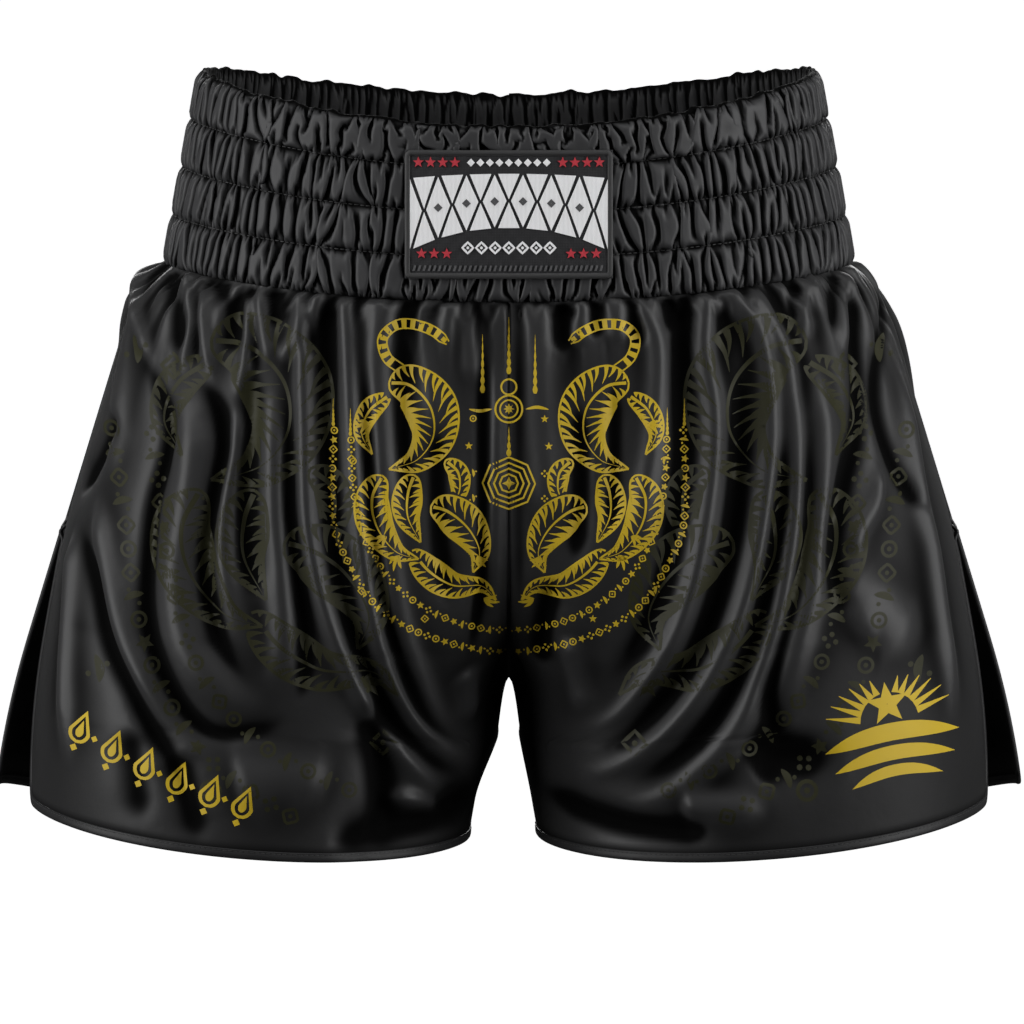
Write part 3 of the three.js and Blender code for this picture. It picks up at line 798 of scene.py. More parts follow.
def panel_shade_factor(out, drop):
    """The painted shade of a panel's cloth, as a factor: darker in its hollows, and darkest where it
    turns in at a bound edge, next to the tape.
    """
    cloth_shade_factor = fold_shade_factor(out, 70, 1.6, 0.9) * lerp(0.12, 1.0, smooth(-5.0, 0.0, out))
    from_slit = np.where(drop > SLIT_DROP, np.arange(PANEL_COLUMNS)[None, :], PANEL_ROWS)
    from_edge = np.minimum(np.arange(PANEL_ROWS)[::-1, None], from_slit)
    return cloth_shade_factor * lerp(0.15, 1.0, smooth(2.0, 5.5, from_edge))


def soften(grid, times):
    """Take the finest ripples out of a grid in place, leaving its edges alone."""
    for _ in range(times):
        middle = (grid[:-2, 1:-1] + grid[2:, 1:-1] + grid[1:-1, :-2] + grid[1:-1, 2:]) / 4
        grid[1:-1, 1:-1] = lerp(grid[1:-1, 1:-1], middle, 0.5)


def outward_normals(grid, side):
    """Normals of a panel that point away from the middle of its leg."""
    n = grid_normals(grid)
    middle = np.array([LEG_MIDDLE if side == "right" else -LEG_MIDDLE, 0.0])
    facing = np.einsum("ijk,ijk->ij", n[..., :2], grid[..., :2] - middle)
    return n if np.median(facing) > 0 else -n


def thick_sheet(name, grid, normals, thickness, material):
    """A closed sheet of cloth: its outer face, its inner face and its edges."""
    rows, columns = grid.shape[:2]
    inner = grid - normals * thickness
    cross = np.cross(grid[1, 1] - grid[1, 0], grid[2, 1] - grid[1, 1])
    flip = np.dot(cross, normals[1, 1]) < 0
    return grid_mesh(name, np.concatenate([grid.reshape(-1, 3), inner.reshape(-1, 3)]),
                     sheet_quads(rows, columns, 0, flip), material)


# ---- flat work laid on the cloth --------------------------------------------------------------------
def sheet_quads(rows, columns, start, flip):
    """The faces of a closed sheet whose outer points come first and whose inner points follow."""
    count = rows * columns
    index = np.arange(count).reshape(rows, columns) + start
    edge = np.concatenate([index[0, :-1], index[:-1, -1], index[-1, :0:-1], index[:0:-1, 0]])
    after = np.roll(edge, -1)
    sides = np.stack([edge, edge + count, after + count, after], axis=-1)
    if flip:
        sides = sides[:, ::-1]
    return np.concatenate([grid_quads(rows, columns, start, flip=flip),
                           grid_quads(rows, columns, start + count, flip=not flip), sides])


class Skin:
    """The front of the shorts as a surface to print on, seen along Y."""

    def __init__(self, grids):
        verts, faces, start = [], [], 0
        for grid in grids:
            verts += grid.reshape(-1, 3).tolist()
            faces += grid_quads(*grid.shape[:2], start).tolist()
            start = len(verts)
        self.tree = BVHTree.FromPolygons(verts, faces)

    def __call__(self, flat):
        """Points and outward normals under a grid of (x, z), or None off the cloth."""
        points = np.zeros((*flat.shape[:2], 3))
        normals = np.zeros_like(points)
        for i in np.ndindex(flat.shape[:2]):
            x, z = flat[i]
            for nudge in (0.0, 0.5, -0.5):         # a ray may slip through the centre seam
                hit, normal, _, _ = self.tree.ray_cast((x + nudge, -400.0, z), (0, 1, 0))
                if hit is not None:
                    break
            if hit is None:
                return None
            hit.x = x
            points[i] = hit
            normals[i] = normal if normal.y < 0 else -normal
        return points, normals


def flat_work(name, pieces, surface, low, high, material):
    """One mesh of many thin closed pieces, each a grid of (x, z) laid on a surface."""
    verts, quads, start = [], [], 0
    for piece in pieces:
        laid = surface(piece)
        if laid is None:
            continue
        points, normals = laid
        rows, columns = points.shape[:2]
        facing = np.cross(points[:-1, 1:] - points[:-1, :-1], points[1:, :-1] - points[:-1, :-1])
        flip = np.sum(facing * normals[:-1, :-1]) < 0
        verts += [(points + normals * high).reshape(-1, 3), (points + normals * low).reshape(-1, 3)]
        quads.append(sheet_quads(rows, columns, start, flip))
        start += 2 * rows * columns
    obj = grid_mesh(name, np.concatenate(verts), np.concatenate(quads), material)
    obj.data.set_sharp_from_angle(angle=np.radians(40))
    return obj


def sideways(line):
    """Unit directions to the left of a flat line."""
    along = np.gradient(line, axis=0)
    along /= np.maximum(np.linalg.norm(along, axis=1, keepdims=True), 1e-9)
    return np.stack([-along[:, 1], along[:, 0]], axis=-1)


def closed_sideways(line):
    """The same for a line that closes on itself."""
    return sideways(np.concatenate([line[-1:], line, line[:1]]))[1:-1]


THINNEST = 0.12                    # the narrowest printed stroke


def stroke(line, width):
    """A flat stroke along an even line; its width is a number or a function of the share along."""
    share = np.linspace(0, 1, len(line))
    half = np.maximum(width(share) if callable(width) else np.full(len(line), width), THINNEST) / 2
    return line[:, None] + sideways(line)[:, None] * half[:, None, None] * np.array(
        [-1, 0, 1])[None, :, None]


def ribbon(points, width, step=1.2):
    """A flat stroke along a smooth line through a few points."""
    points = np.asarray(points, float)
    return stroke(resample(spline(points, 12) if len(points) > 2 else points, step), width)


def turned(centre, radius, count, grow, shift):
    """A grid round a centre, its rings a radius times grow plus shift; the radius is a number or a
    function of the angle."""
    angle = np.linspace(0, 2 * np.pi, count + 1)
    r = radius(angle) if callable(radius) else np.full(count + 1, radius)
    out = np.stack([np.cos(angle), np.sin(angle)], axis=-1)
    return np.asarray(centre) + out[:, None] * (r[:, None] * np.array(grow) + np.array(shift))[..., None]


def ring(centre, radius, width, count=48):
    return turned(centre, radius, count, (1, 1, 1), np.array([-0.5, 0.0, 0.5]) * width)


def disc(centre, radius, count=24, rings=(0.03, 0.5, 1.0)):
    return turned(centre, radius, count, rings, np.zeros(len(rings)))


def star_radius(radius, points=5, inner=0.42, turn=np.pi / 2):
    """Radius of a star's straight edges at an angle."""
    def at(angle):
        half = np.pi / points
        a = np.abs((angle - turn + half) % (2 * half) - half)
        tip = np.array([radius, 0.0])
        dent = np.array([np.cos(half), np.sin(half)]) * inner * radius
        edge = dent - tip
        return (tip[0] * edge[1]) / (np.cos(a) * edge[1] - np.sin(a) * edge[0])
    return at


def polygon_radius(radius, sides, turn=0.0):
    """Radius of a regular polygon's edges at an angle."""
    def at(angle):
        half = np.pi / sides
        a = (angle - turn) % (2 * half) - half
        return radius * np.cos(half) / np.cos(a)
    return at


def between(top, bottom, rows=6):
    """The area between two lines with the same number of points."""
    top, bottom = np.asarray(top, float)[:, None], np.asarray(bottom, float)[:, None]
    return lerp(top, bottom, np.linspace(0, 1, rows)[None, :, None])


def mirrored(pieces):
    return [piece * np.array([-1.0, 1.0]) for piece in pieces]


# ---- the printed ornaments --------------------------------------------------------------------------
UPRIGHT = (np.array([1.0, 0.0]), np.array([0.0, 1.0]))
FINE = 0.6                         # distance between the points of a drawn line
LEAF_STRIPES = 4                   # points of its spine from one stripe of a leaf to the next
STRIPE_WIDTH, OUTLINE_WIDTH = 2.0, 0.9


class Leaf:
    """A striped flame leaf: a curved spine, full near its root and drawn out to a curling tip."""

    def __init__(self, spine, half_width, full):
        self.line = resample(spline(spine, 12), FINE)
        self.side = sideways(self.line)
        self.along = np.stack([self.side[:, 1], -self.side[:, 0]], axis=-1)
        share = np.linspace(0, 1, len(self.line))
        root, tip = np.minimum(share / full, 1), np.maximum(share - full, 0) / (1 - full)
        self.half = half_width * np.sqrt(root * (2 - root)) * (1 - tip ** 1.5)

    def covers(self, points, margin):
        gap = np.linalg.norm(points[:, None] - self.line[None], axis=-1) - self.half[None] - margin
        return gap.min(axis=1) < 0

    def strokes(self):
        """The lines of the leaf with their widths: outline, spine and stripes, long and short."""
        lines = [(self.line + self.side * (sign * self.half)[:, None], OUTLINE_WIDTH)
                 for sign in (-1, 1)]
        lines.append((self.line[2:-2], lambda s: 1.5 * (1.05 - s)))
        for sign in (-1, 1):
            first = 2 + LEAF_STRIPES * (sign > 0) // 2
            for count, i in enumerate(range(first, len(self.line) - 2, LEAF_STRIPES)):
                w = self.half[i]
                if w < 1.3:
                    continue
                inner = 0.16 if count % 2 else 0.42
                rim = self.line[i] + self.side[i] * sign * w * 0.97
                end = self.line[i] + self.side[i] * sign * w * inner + self.along[i] * w * 0.42
                middle = (rim + end) / 2 - self.along[i] * w * 0.07
                lines.append((np.array([rim, middle, end]), lambda s: STRIPE_WIDTH * (1.08 - s)))
        return lines


def figure(leaves):
    """Leaves drawn one after the other, each only where the earlier ones leave room."""
    pieces = []
    for k, leaf in enumerate(leaves):
        for line, width in leaf.strokes():
            line = resample(spline(line, 6) if len(line) < 5 else line, 0.9)
            clear = np.ones(len(line), bool)
            for other in leaves[:k]:
                clear &= ~other.covers(line, 0.7)
            last = len(line) - 1
            for run in np.split(np.arange(len(line)), np.flatnonzero(np.diff(clear)) + 1):
                if clear[run[0]] and len(run) > 2:
                    at = width
                    if callable(width):
                        def at(share, width=width, a=run[0] / last, b=run[-1] / last):
                            return width(a + (b - a) * share)
                    pieces.append(stroke(line[run], at))
    return pieces


def tendril(points, width):
    """A curl of short bands between two thin outlines."""
    line = resample(spline(points, 12), FINE)
    side = sideways(line)
    taper = np.minimum(1.0, np.arange(len(line)) * FINE / 6 + 0.4)
    pieces = [stroke(line + side * (sign * width / 2 * taper)[:, None], 0.7) for sign in (-1, 1)]
    band, step = 5, 7
    for i in range(2, len(line) - step, step):
        pieces.append(stroke(line[i:i + band], width * 0.85 * taper[i]))
    return pieces


def petal(place, heading, length, width):
    """A pointed stroke that bends a little to its left."""
    along = np.array([np.cos(heading), np.sin(heading)])
    side = np.array([-along[1], along[0]])
    return ribbon([place, place + along * length * 0.5 + side * length * 0.1, place + along * length],
                  lambda share: width * (0.1 + 0.9 * np.sin(np.pi * share) ** 0.7))


def flame(root, heading, size):
    """Three curved tongues that spread from a root."""
    return [petal(np.asarray(root, float), heading + 0.5 * turn, size * (1 - 0.2 * abs(turn)),
                  size * 0.2) for turn in (-1, 0, 1)]


def spire(x, low, high, width, beads):
    """An upright beaded spire."""
    return [ribbon([(x, low), (x, high)],
                   lambda s: width * (1.05 - s) * (0.45 + 0.55 * np.abs(np.sin(np.pi * beads * s))),
                   step=0.5)]


def mark(kind, place, axes, size):
    """One small mark of a border: lozenge, star, ringed bead, four beads or a leaf with beads."""
    along, side = axes
    place = np.asarray(place, float)
    turn = np.arctan2(along[1], along[0])

    def at(a, b):
        return place + along * a * size + side * b * size
    if kind == 0:
        return [ring(place, polygon_radius(size * 0.44, 4, turn), size * 0.15, 16),
                disc(place, size * 0.11, 8)]
    if kind == 1:
        return [disc(place, star_radius(size * 0.5, 5, 0.42, turn + np.pi / 2), 20)]
    if kind == 2:
        return [ring(place, size * 0.34, size * 0.15, 18), disc(place, size * 0.12, 8)]
    if kind == 3:
        return [disc(at(a, b), size * 0.14, 8) for a, b in ((-0.3, 0), (0.3, 0), (0, -0.3), (0, 0.3))]
    return [petal(at(-0.05, -0.48), turn + np.pi / 2 - 0.15, size, size * 0.34),
            disc(at(0.36, -0.2), size * 0.11, 8), disc(at(-0.34, 0.2), size * 0.11, 8)]


def border(points, gap, size, rng):
    """Marks in a row along a curve, no two alike in a row."""
    line = resample(spline(points, 12), gap)
    kind, pieces = -1, []
    for place, side in zip(line, sideways(line)):
        kind = (kind + 1 + int(rng.integers(4))) % 5
        along = np.array([side[1], -side[0]])
        pieces += mark(kind, place, (along, side), size)
    return pieces


OUTER_ARC = [(83, -146), (84, -172), (82.5, -194), (75, -211), (64, -228), (48, -240), (28, -248.5),
             (9, -254), (0, -255)]
INNER_ARC = [(75, -150), (74, -172), (69.5, -194), (60, -212), (46, -226.5), (28, -237), (11, -242.5),
             (0, -243.5)]


def figure_leaves():
    """The leaves of one scroll, from its root at the top to its curl at the bottom."""
    shapes = [([(57, -123), (46, -125), (37, -135), (36, -149), (44, -160), (57, -164)], 12.5, 0.38),
              ([(60, -167), (65, -178), (63, -191), (54, -203), (43, -207)], 8.5, 0.4),
              ([(37, -182), (28, -185), (19, -193), (14, -204), (17, -214)], 9.5, 0.38),
              ([(45, -167), (48, -176), (48, -187), (42, -199)], 7.0, 0.4),
              ([(46, -203), (38, -213), (27, -220), (13, -221), (6, -228)], 7.0, 0.36),
              ([(30, -160), (24, -166), (24, -176), (31, -182)], 4.8, 0.4),
              ([(57, -129), (66, -136), (70, -147), (65, -157)], 5.0, 0.36)]
    return [Leaf(spine, half, full) for spine, half, full in shapes]


def half_of_front_art(rng):
    """The right-hand half of the gold design on the front."""
    pieces = figure(figure_leaves())
    pieces += tendril([(29, -104), (36, -98.5), (45, -95.5), (54, -96), (60, -102), (58, -111),
                       (51, -117)], 4.4)
    for root, heading, size in [((66, -143), -0.2, 8), ((52, -205), -1.2, 8), ((12, -227), 3.4, 8),
                                ((15, -206), -2.2, 7), ((58, -196), -0.7, 7)]:
        pieces += flame(root, heading, size)
    pieces += border(OUTER_ARC, 4.5, 4.4, rng) + border(INNER_ARC, 4.5, 4.2, rng)
    for x, low in ((83.5, -144), (75.3, -148)):
        pieces += spire(x, low, low + 13, 1.7, 6)
    for place in ((74, -160), (70, -222), (19, -153), (17, -166), (17, -178), (40, -236), (17, -140)):
        pieces += mark(int(rng.integers(5)), place, UPRIGHT, 4.0)
    return pieces


def front_art():
    pieces = half_of_front_art(np.random.default_rng(3)) + mirrored(
        half_of_front_art(np.random.default_rng(4)))
    for x, low, high in ((-12.5, -128, -100), (0, -119, -92), (12.5, -128, -100)):
        pieces += spire(x, low, high, 2.4, 7)
    pieces += spire(0, -158, -144, 2.6, 4) + spire(0, -221, -187, 3.0, 8)
    pieces += [ring((0, -125), 3.6, 0.9), ring((0, -135.5), 6.4, 0.9), ring((0, -135.5), 4.2, 0.8),
               disc((0, -135.5), star_radius(2.6, 8, 0.5), 32)]
    for radius in (12.5, 9.8, 7.1, 4.4):
        pieces.append(ring((0, -171), polygon_radius(radius, 8), 0.9, 48))
    pieces.append(disc((0, -171), star_radius(3.2, 4, 0.45), 32))
    return pieces + [petal(np.array([8 * np.cos(heading), -135.5]), heading, 11, 1.6)
                     for heading in (0.0, np.pi)]


def bud(place, size, turn):
    """A pointed bud: a solid leaf inside a bold outline, standing on a lozenge."""
    up = np.array([-np.sin(turn), np.cos(turn)])
    side = np.array([up[1], -up[0]])

    def outline(wide, low, high):
        t = np.linspace(0, 1, 25)[:, None]
        root, tip = np.minimum(t / 0.35, 1), np.maximum(t - 0.35, 0) / 0.65
        rise = place + up * size * lerp(low, high, t)
        swell = side * size * wide * np.sqrt(root * (2 - root)) * (1 - tip)
        return np.concatenate([rise - swell, (rise + swell)[-2::-1]])
    solid = outline(0.13, 0.2, 0.78)
    return [between(outline(0.36, 0.0, 1.12), outline(0.24, 0.1, 0.92), 4),
            between(solid[:25], solid[:23:-1], 4),
            disc(place - up * size * 0.16, polygon_radius(size * 0.13, 4, turn), 16)]


def hem_ornament():
    """Six buds in a row that follows the left hem, with lozenges between them."""
    pieces = []
    lean = -0.38
    for i, share in enumerate(np.linspace(0, 1, 11)):
        place = lerp(np.array([-207.0, -298.0]), np.array([-129.0, -331.0]), share)
        place[1] -= 2.5 * np.sin(np.pi * share)
        if i % 2:
            pieces.append(disc(place + (1.5, 6.5), polygon_radius(1.7, 4, lean), 16))
        else:
            pieces += bud(place, 15.0, lean)
    return pieces


def hem_emblem():
    """A star with rays over three arched bars with pointed ends, on the right-hand leg."""
    turn = np.radians(8.0)
    spin = np.array([[np.cos(turn), np.sin(turn)], [-np.sin(turn), np.cos(turn)]])
    pieces = [disc((0, 12.5), star_radius(10.5), 60, (0.03, 0.4, 0.7, 1.0))]
    for low, half, thick in ((-1.0, 32.5, 8.5), (-11.0, 29, 7.0), (-19.5, 22, 5.5)):
        x = np.linspace(-half, half, 41)
        arch = low - 5.5 * (x / half) ** 2
        cut = thick / 2 * np.maximum(0.02, 1 - np.abs(x / half) ** 3)
        pieces.append(between(np.stack([x, arch + cut], -1), np.stack([x, arch - cut], -1)))
    for degrees in (*range(12, 84, 12), *range(108, 180, 12)):
        out = np.array([np.cos(np.radians(degrees)), np.sin(np.radians(degrees))])
        start, end = 14.0, 21.0 + 10.0 * out[0] ** 2
        pieces.append(ribbon([out * start + (0, 4), out * end + (0, 4)], lambda s: 3.0 * (1.1 - s)))
    return [np.array([182.0, -290.0]) + piece @ spin for piece in pieces]


def tonal_art():
    """The same leaves, twice as large and in dark olive, down the outside of the leg."""
    rng = np.random.default_rng(8)
    pieces = [piece * (1.75, 1.6) + (42.0, 92.0) for piece in figure(figure_leaves())]
    pieces += border([(190, -150), (183, -190), (178, -230), (166, -268), (142, -304), (104, -330)],
                     11.0, 10.0, rng)
    pieces += border([(170, -150), (165, -190), (158, -228), (146, -262), (120, -294), (76, -318)],
                     11.0, 9.5, rng)
    for place in ((160, -118), (178, -112), (142, -318), (60, -296), (196, -262), (66, -268)):
        pieces += mark(int(rng.integers(5)), place, UPRIGHT, 13.0)
    return pieces


# ---- threads, seams and trim ------------------------------------------------------------------------
INSIDE_FACE = -3.1                 # from the middle of the band to the face of its lining
# A stitch from end to end: places along its length and shares of its radius.
STITCH_RINGS = ((-0.5, 0.35), (-0.42, 0.8), (-0.2, 1.0), (0.2, 1.0), (0.42, 0.8), (0.5, 0.35))


def stitch_mesh(name, centres, along, up, length, radius, material):
    """Many short stitches in one mesh, each lying half sunk at a centre."""
    along = unit(along)
    side = unit(np.cross(up, along))
    up = np.cross(along, side)
    turn = np.linspace(0, 2 * np.pi, 6, endpoint=False)
    local = np.array([(x * length, r * radius * np.cos(a), r * radius * np.sin(a) - 0.5 * radius *
                       (1 - r)) for x, r in STITCH_RINGS for a in turn])
    verts = (centres[:, None] + along[:, None] * local[None, :, :1] + side[:, None] *
             local[None, :, 1:2] + up[:, None] * local[None, :, 2:])
    last = len(local) - 6
    ends = np.array([[0, 1, 2, 3], [3, 4, 5, 0], [last + 3, last + 2, last + 1, last],
                     [last, last + 5, last + 4, last + 3]])
    one = np.concatenate([grid_quads(len(STITCH_RINGS), 6, wrap=True, flip=True), ends])
    starts = np.arange(len(centres))[:, None, None] * len(local)
    return grid_mesh(name, verts.reshape(-1, 3), (one[None] + starts).reshape(-1, 4), material)


def along_line(line, normals, pitch):
    """Places, directions and normals at even steps of a line in space."""
    run = distance_along(line)
    even = np.arange(pitch / 2, run[-1], pitch)

    def at(values, where):
        return np.stack([np.interp(where, run, values[:, k]) for k in range(3)], axis=-1)
    return at(line, even), at(line, even + pitch / 3) - at(line, even - pitch / 3), at(normals, even)


def swept(name, line, inward, normals, profile, material):
    """A tape: a closed profile of (inward, outward) distances carried along a line."""
    loops = np.stack([line + inward * w + normals * h for w, h in profile], axis=1)
    rows, columns = loops.shape[:2]
    quads = [grid_quads(rows, columns, wrap=True)]
    for start, step in ((0, -1), ((rows - 1) * columns, 1)):
        for k in range(columns // 2 - 1):
            cap = [start + k, start + k + 1, start + columns - 2 - k, start + columns - 1 - k]
            quads.append(np.array([cap[::step]]))
    return grid_mesh(name, loops.reshape(-1, 3), np.concatenate(quads), material)


# The binding in section: in from the edge of the cloth, and out from its face.
TAPE = ((-0.65, 0.1), (-0.45, 0.62), (0.15, 0.9), (1.1, 0.98), (2.3, 0.86), (2.9, 0.5), (3.4, 0.78),
        (3.9, 0.45), (3.9, -0.9), (3.4, -1.23), (2.9, -0.95), (2.3, -1.31), (1.1, -1.43),
        (0.15, -1.35), (-0.45, -1.07), (-0.65, -0.55))


def edge_route(face, grid, normals):
    """The bound edge of a panel: down the slit, round the corner and along the hem."""
    first = 1 + int(np.ceil((SLIT_DROP + 1.5) / edge_drop(face, 0.0) * (len(grid) - 2)))
    line = np.concatenate([grid[first:-1, 0], grid[-1, 1:]])
    up = np.concatenate([normals[first:-1, 0], normals[-1, 1:]])
    within = np.concatenate([grid[first:-1, 9], np.repeat(grid[-11, 9:10], 8, axis=0), grid[-10, 9:]])
    ease_line(line, 3)
    ease_line(up, 3)
    inward = np.cross(up, unit(np.gradient(line, axis=0)))
    inward *= np.sign(np.sum(inward * (within - line), axis=1, keepdims=True))
    return line, unit(inward), up


def build_binding(face, side, grid, normals, tape, thread):
    """The binding of a panel, and the stitches in the groove of its tape."""
    line, inward, up = edge_route(face, grid, normals)
    piece = swept(f"{face}_{side}_bound_edge", line, inward, up, TAPE, tape)
    seam = line + inward * 2.9 + up * 0.54
    stitches = stitch_mesh(f"{face}_{side}_edge_stitches", *along_line(seam, up, 2.6), 2.0, 0.2, thread)
    return piece, stitches


def strip(name, first, second, material):
    """A seam allowance under two panels, from columns of the one and then of the other."""
    grid, up = [np.concatenate(pair, axis=1) for pair in zip(first, second)]
    return thick_sheet(name, grid - up * (CLOTH + 0.35), up, 0.4, material)


def crease(grid, normals, column, rows, depth):
    """Draw a panel in along its seam."""
    step = 1 if column == 0 else -1
    for k, share in enumerate((1.0, 0.45, 0.12)):
        grid[rows, column + k * step] -= normals[rows, column + k * step] * depth * share


def rows_at(values, face, drops, across):
    """Rows of a panel's grid at drops below the waist seam, measured on one of its edges."""
    at = 1 + drops / edge_drop(face, across) * (values.shape[0] - 2)
    i = np.clip(at.astype(int), 0, values.shape[0] - 2)
    f = (at - i)[:, None, None]
    return values[i] * (1 - f) + values[i + 1] * f


def build_gusset(material):
    """The diamond between the legs, whose edges lie under the edges of the panels."""
    lengthwise = np.linspace(-1, 1, 61)[:, None]
    widthwise = np.linspace(-1, 1, 33)[None, :]

    def at(l, w):
        y = np.abs(l) * (GUSSET_HALF_LENGTH + 3.0)
        points = []
        for face in ("front", "back"):
            tucked = lerp(0.8, 4.0, smooth(0.0, 20.0, y))
            drop = LEG[face].curve_drop(y) + np.abs(w) * (gusset_drop(np.minimum(
                y, GUSSET_HALF_LENGTH)) + tucked)
            middle, half, depth = LEG[face].section(drop)
            x = np.where(w == 0, 0.0, middle - half * partner(np.minimum(y / depth, 1.0)))
            y_out = -y if face == "front" else y
            points.append(np.stack(np.broadcast_arrays(np.sign(w) * np.maximum(x, 0.0), y_out,
                                                       -BAND_HEIGHT - drop), axis=-1))
        return np.where((l < 0)[..., None], points[0], points[1])

    grid = at(lengthwise, widthwise)
    up = grid_normals(grid)
    up = up if up[30, 16, 2] > 0 else -up
    pucker = 0.3 * np.sin(lengthwise * 19.0) * np.abs(widthwise) ** 2
    upper = grid + up * (pucker + 1.3)[..., None]
    return thick_sheet("crotch_gusset_cloth", upper, up, CLOTH, material)


def build_bar_tack(side, panels, normals, material):
    """A bar of dense stitches across the side seam, just above the slit."""
    drops = np.array([SLIT_DROP - 2.6])
    cuts = {"front": slice(3, None, -1), "back": slice(0, 4)}
    line, up = [np.concatenate([rows_at(values[face, side], face, drops, 0.0)[0, cut]
                                for face, cut in cuts.items()]) for values in (panels, normals)]
    centres, _, facing = along_line(line + up * 0.15, up, 0.6)
    along = np.tile([0.0, 0.12, 1.0], (len(centres), 1))
    return stitch_mesh(f"slit_tack_{side}", centres, along, facing, 2.5, 0.33, material)


def build_buttonhole(side, material):
    """Satin stitches round a slot on the inside of the front, for the drawcord."""
    sign = -1 if side == "left" else 1
    turn = np.linspace(0, 2 * np.pi, 120, endpoint=False)
    round_end = 4.4 * np.sign(np.cos(turn)) * np.abs(np.cos(turn)) ** 0.35
    flat = np.stack([round_end + 1.5 * np.cos(turn), 1.9 * np.sin(turn)], axis=-1)
    flat = resample(np.concatenate([flat, flat[:1]]), 0.42)[:-1]
    out = closed_sideways(flat)
    down = 0.375
    centres = band_front(sign * 24.0 + flat[:, 0], -BAND_HEIGHT * down + flat[:, 1], down, INSIDE_FACE)
    along = np.stack([out[:, 0], np.zeros(len(out)), out[:, 1]], axis=-1)
    up = np.tile([-0.04 * sign, 1.0, 0.0], (len(out), 1))
    return stitch_mesh(f"buttonhole_{side}", centres, along, up, 2.0, 0.3, material)


# ---- the label --------------------------------------------------------------------------------------
LABEL_BACK = 4.0                   # from the middle of the band to the back of the label
LABEL_THICKNESS = 1.1
LABEL_BORDER = 2.6


def label_surface(flat):
    """Points and normals on the front of the label for (x, z)."""
    def place(x, z):
        return band_front(x, z, -z / BAND_HEIGHT, LABEL_BACK + LABEL_THICKNESS)
    x, z = flat[..., 0], flat[..., 1]
    across = place(x + 0.5, z) - place(x - 0.5, z)
    down = place(x, z + 0.5) - place(x, z - 0.5)
    return place(x, z), unit(np.cross(across, down))


def rounded_rectangle(half_width, half_height, radius):
    """The outline of a rectangle with round corners, from the top right."""
    points = []
    for i, (sx, sz) in enumerate(((1, 1), (-1, 1), (-1, -1), (1, -1))):
        for turn in np.linspace(0, np.pi / 2, 9):
            a = turn + i * np.pi / 2
            points.append((sx * (half_width - radius) + radius * np.cos(a),
                           sz * (half_height - radius) + radius * np.sin(a)))
    points.append(points[0])
    return resample(np.array(points), 0.35)


def build_label(ground, border_thread):
    """The label's patch, a little puckered, and the ribbed border raised round it."""
    width, height = LABEL_SIZE
    middle = LABEL_TOP - height / 2
    x = np.linspace(-width / 2, width / 2, 133)[None, :]
    z = np.linspace(LABEL_TOP, LABEL_TOP - height, 83)[:, None]
    flat = np.stack(np.broadcast_arrays(x, z), axis=-1)
    points, normals = label_surface(flat)
    pucker = 0.16 * np.sin(x * 0.9) * np.sin(z * 0.8) + 0.1 * np.sin(x * 0.37 + z * 0.21)
    patch = thick_sheet("woven_label", points + normals * pucker[..., None], normals,
                        LABEL_THICKNESS, ground)
    route = rounded_rectangle(width / 2 - LABEL_BORDER / 2, height / 2 - LABEL_BORDER / 2, 2.0)
    route = route[:-1] + np.array([0.0, middle])
    at, up = label_surface(route)
    across = unit(label_surface(route + closed_sideways(route))[0] - at)
    ribs = np.arange(1, len(route) + 1) % 2
    profile = [(0.5 * LABEL_BORDER * np.cos(a), 0.1 + 0.75 * np.sin(a)) for a in
               np.linspace(0, np.pi, 9)] + [(-1.2, -0.1), (1.2, -0.1)]
    loops = np.stack([at + across * w + up * (h + 0.12 * ribs * (h > 0.2))[:, None]
                      for w, h in profile], axis=1)
    loops = np.concatenate([loops, loops[:1]])
    border = grid_mesh("label_border", loops.reshape(-1, 3),
                       grid_quads(len(loops), len(profile), wrap=True), border_thread)
    return patch, border


LATTICE_HALF = 47.0
LOZENGES = 7


def label_blocks():
    """A white lattice of lozenges and triangles under an arch, and rows of small marks."""
    def on_arch(u, v):
        x = -LATTICE_HALF + 2 * LATTICE_HALF * u
        top = -23.0 - 2.0 * (np.abs(x) / LATTICE_HALF) ** 2
        foot = -50.0 - 11.0 * (np.abs(x) / LATTICE_HALF) ** 2.2
        return np.stack([x, lerp(foot, top, v)], axis=-1)

    pieces = []
    half = 1 / (2 * LOZENGES) - 0.011
    for i in range(2 * LOZENGES + 1):
        if i % 2:                              # two triangles, tip to tip
            heights = [np.linspace(0.025, 0.475, 13), np.linspace(0.525, 0.975, 13)]
            widths = [np.abs(v - 0.5) / 0.5 - 0.05 for v in heights]
        else:                                  # one lozenge, cut in half at either end of the row
            heights = [np.linspace(0.04, 0.96, 13)]
            widths = [1 - np.abs(v - 0.5) / 0.46 for v in heights]
        for v, wide in zip(heights, widths):
            reach_out = half * np.clip(wide, 0.004, 1)
            left, right = [np.clip(i / (2 * LOZENGES) + sign * reach_out, 0.0, 1.0) for sign in (-1, 1)]
            pieces.append(between(on_arch(left, v), on_arch(right, v), 4))
    pieces += [disc((-18.0 + i * 4.5, -18.4), polygon_radius(1.9, 4), 16) for i in range(9)]
    for i in range(7):
        pieces.append(ring((-19.5 + i * 6.5, -58.8), polygon_radius(2.6, 4), 1.1, 16))
        pieces.append(disc((-19.5 + i * 6.5, -58.8), 0.7, 10))
    return pieces


def label_beads():
    """A dark lozenge at the middle of each whole white one."""
    places = [LATTICE_HALF * (2 * i / LOZENGES - 1) for i in range(1, LOZENGES)]
    return [disc((x, -36.7 - 5.5 * (abs(x) / LATTICE_HALF) ** 2.2 - (x / LATTICE_HALF) ** 2),
                 polygon_radius(2.1, 4), 16) for x in places]


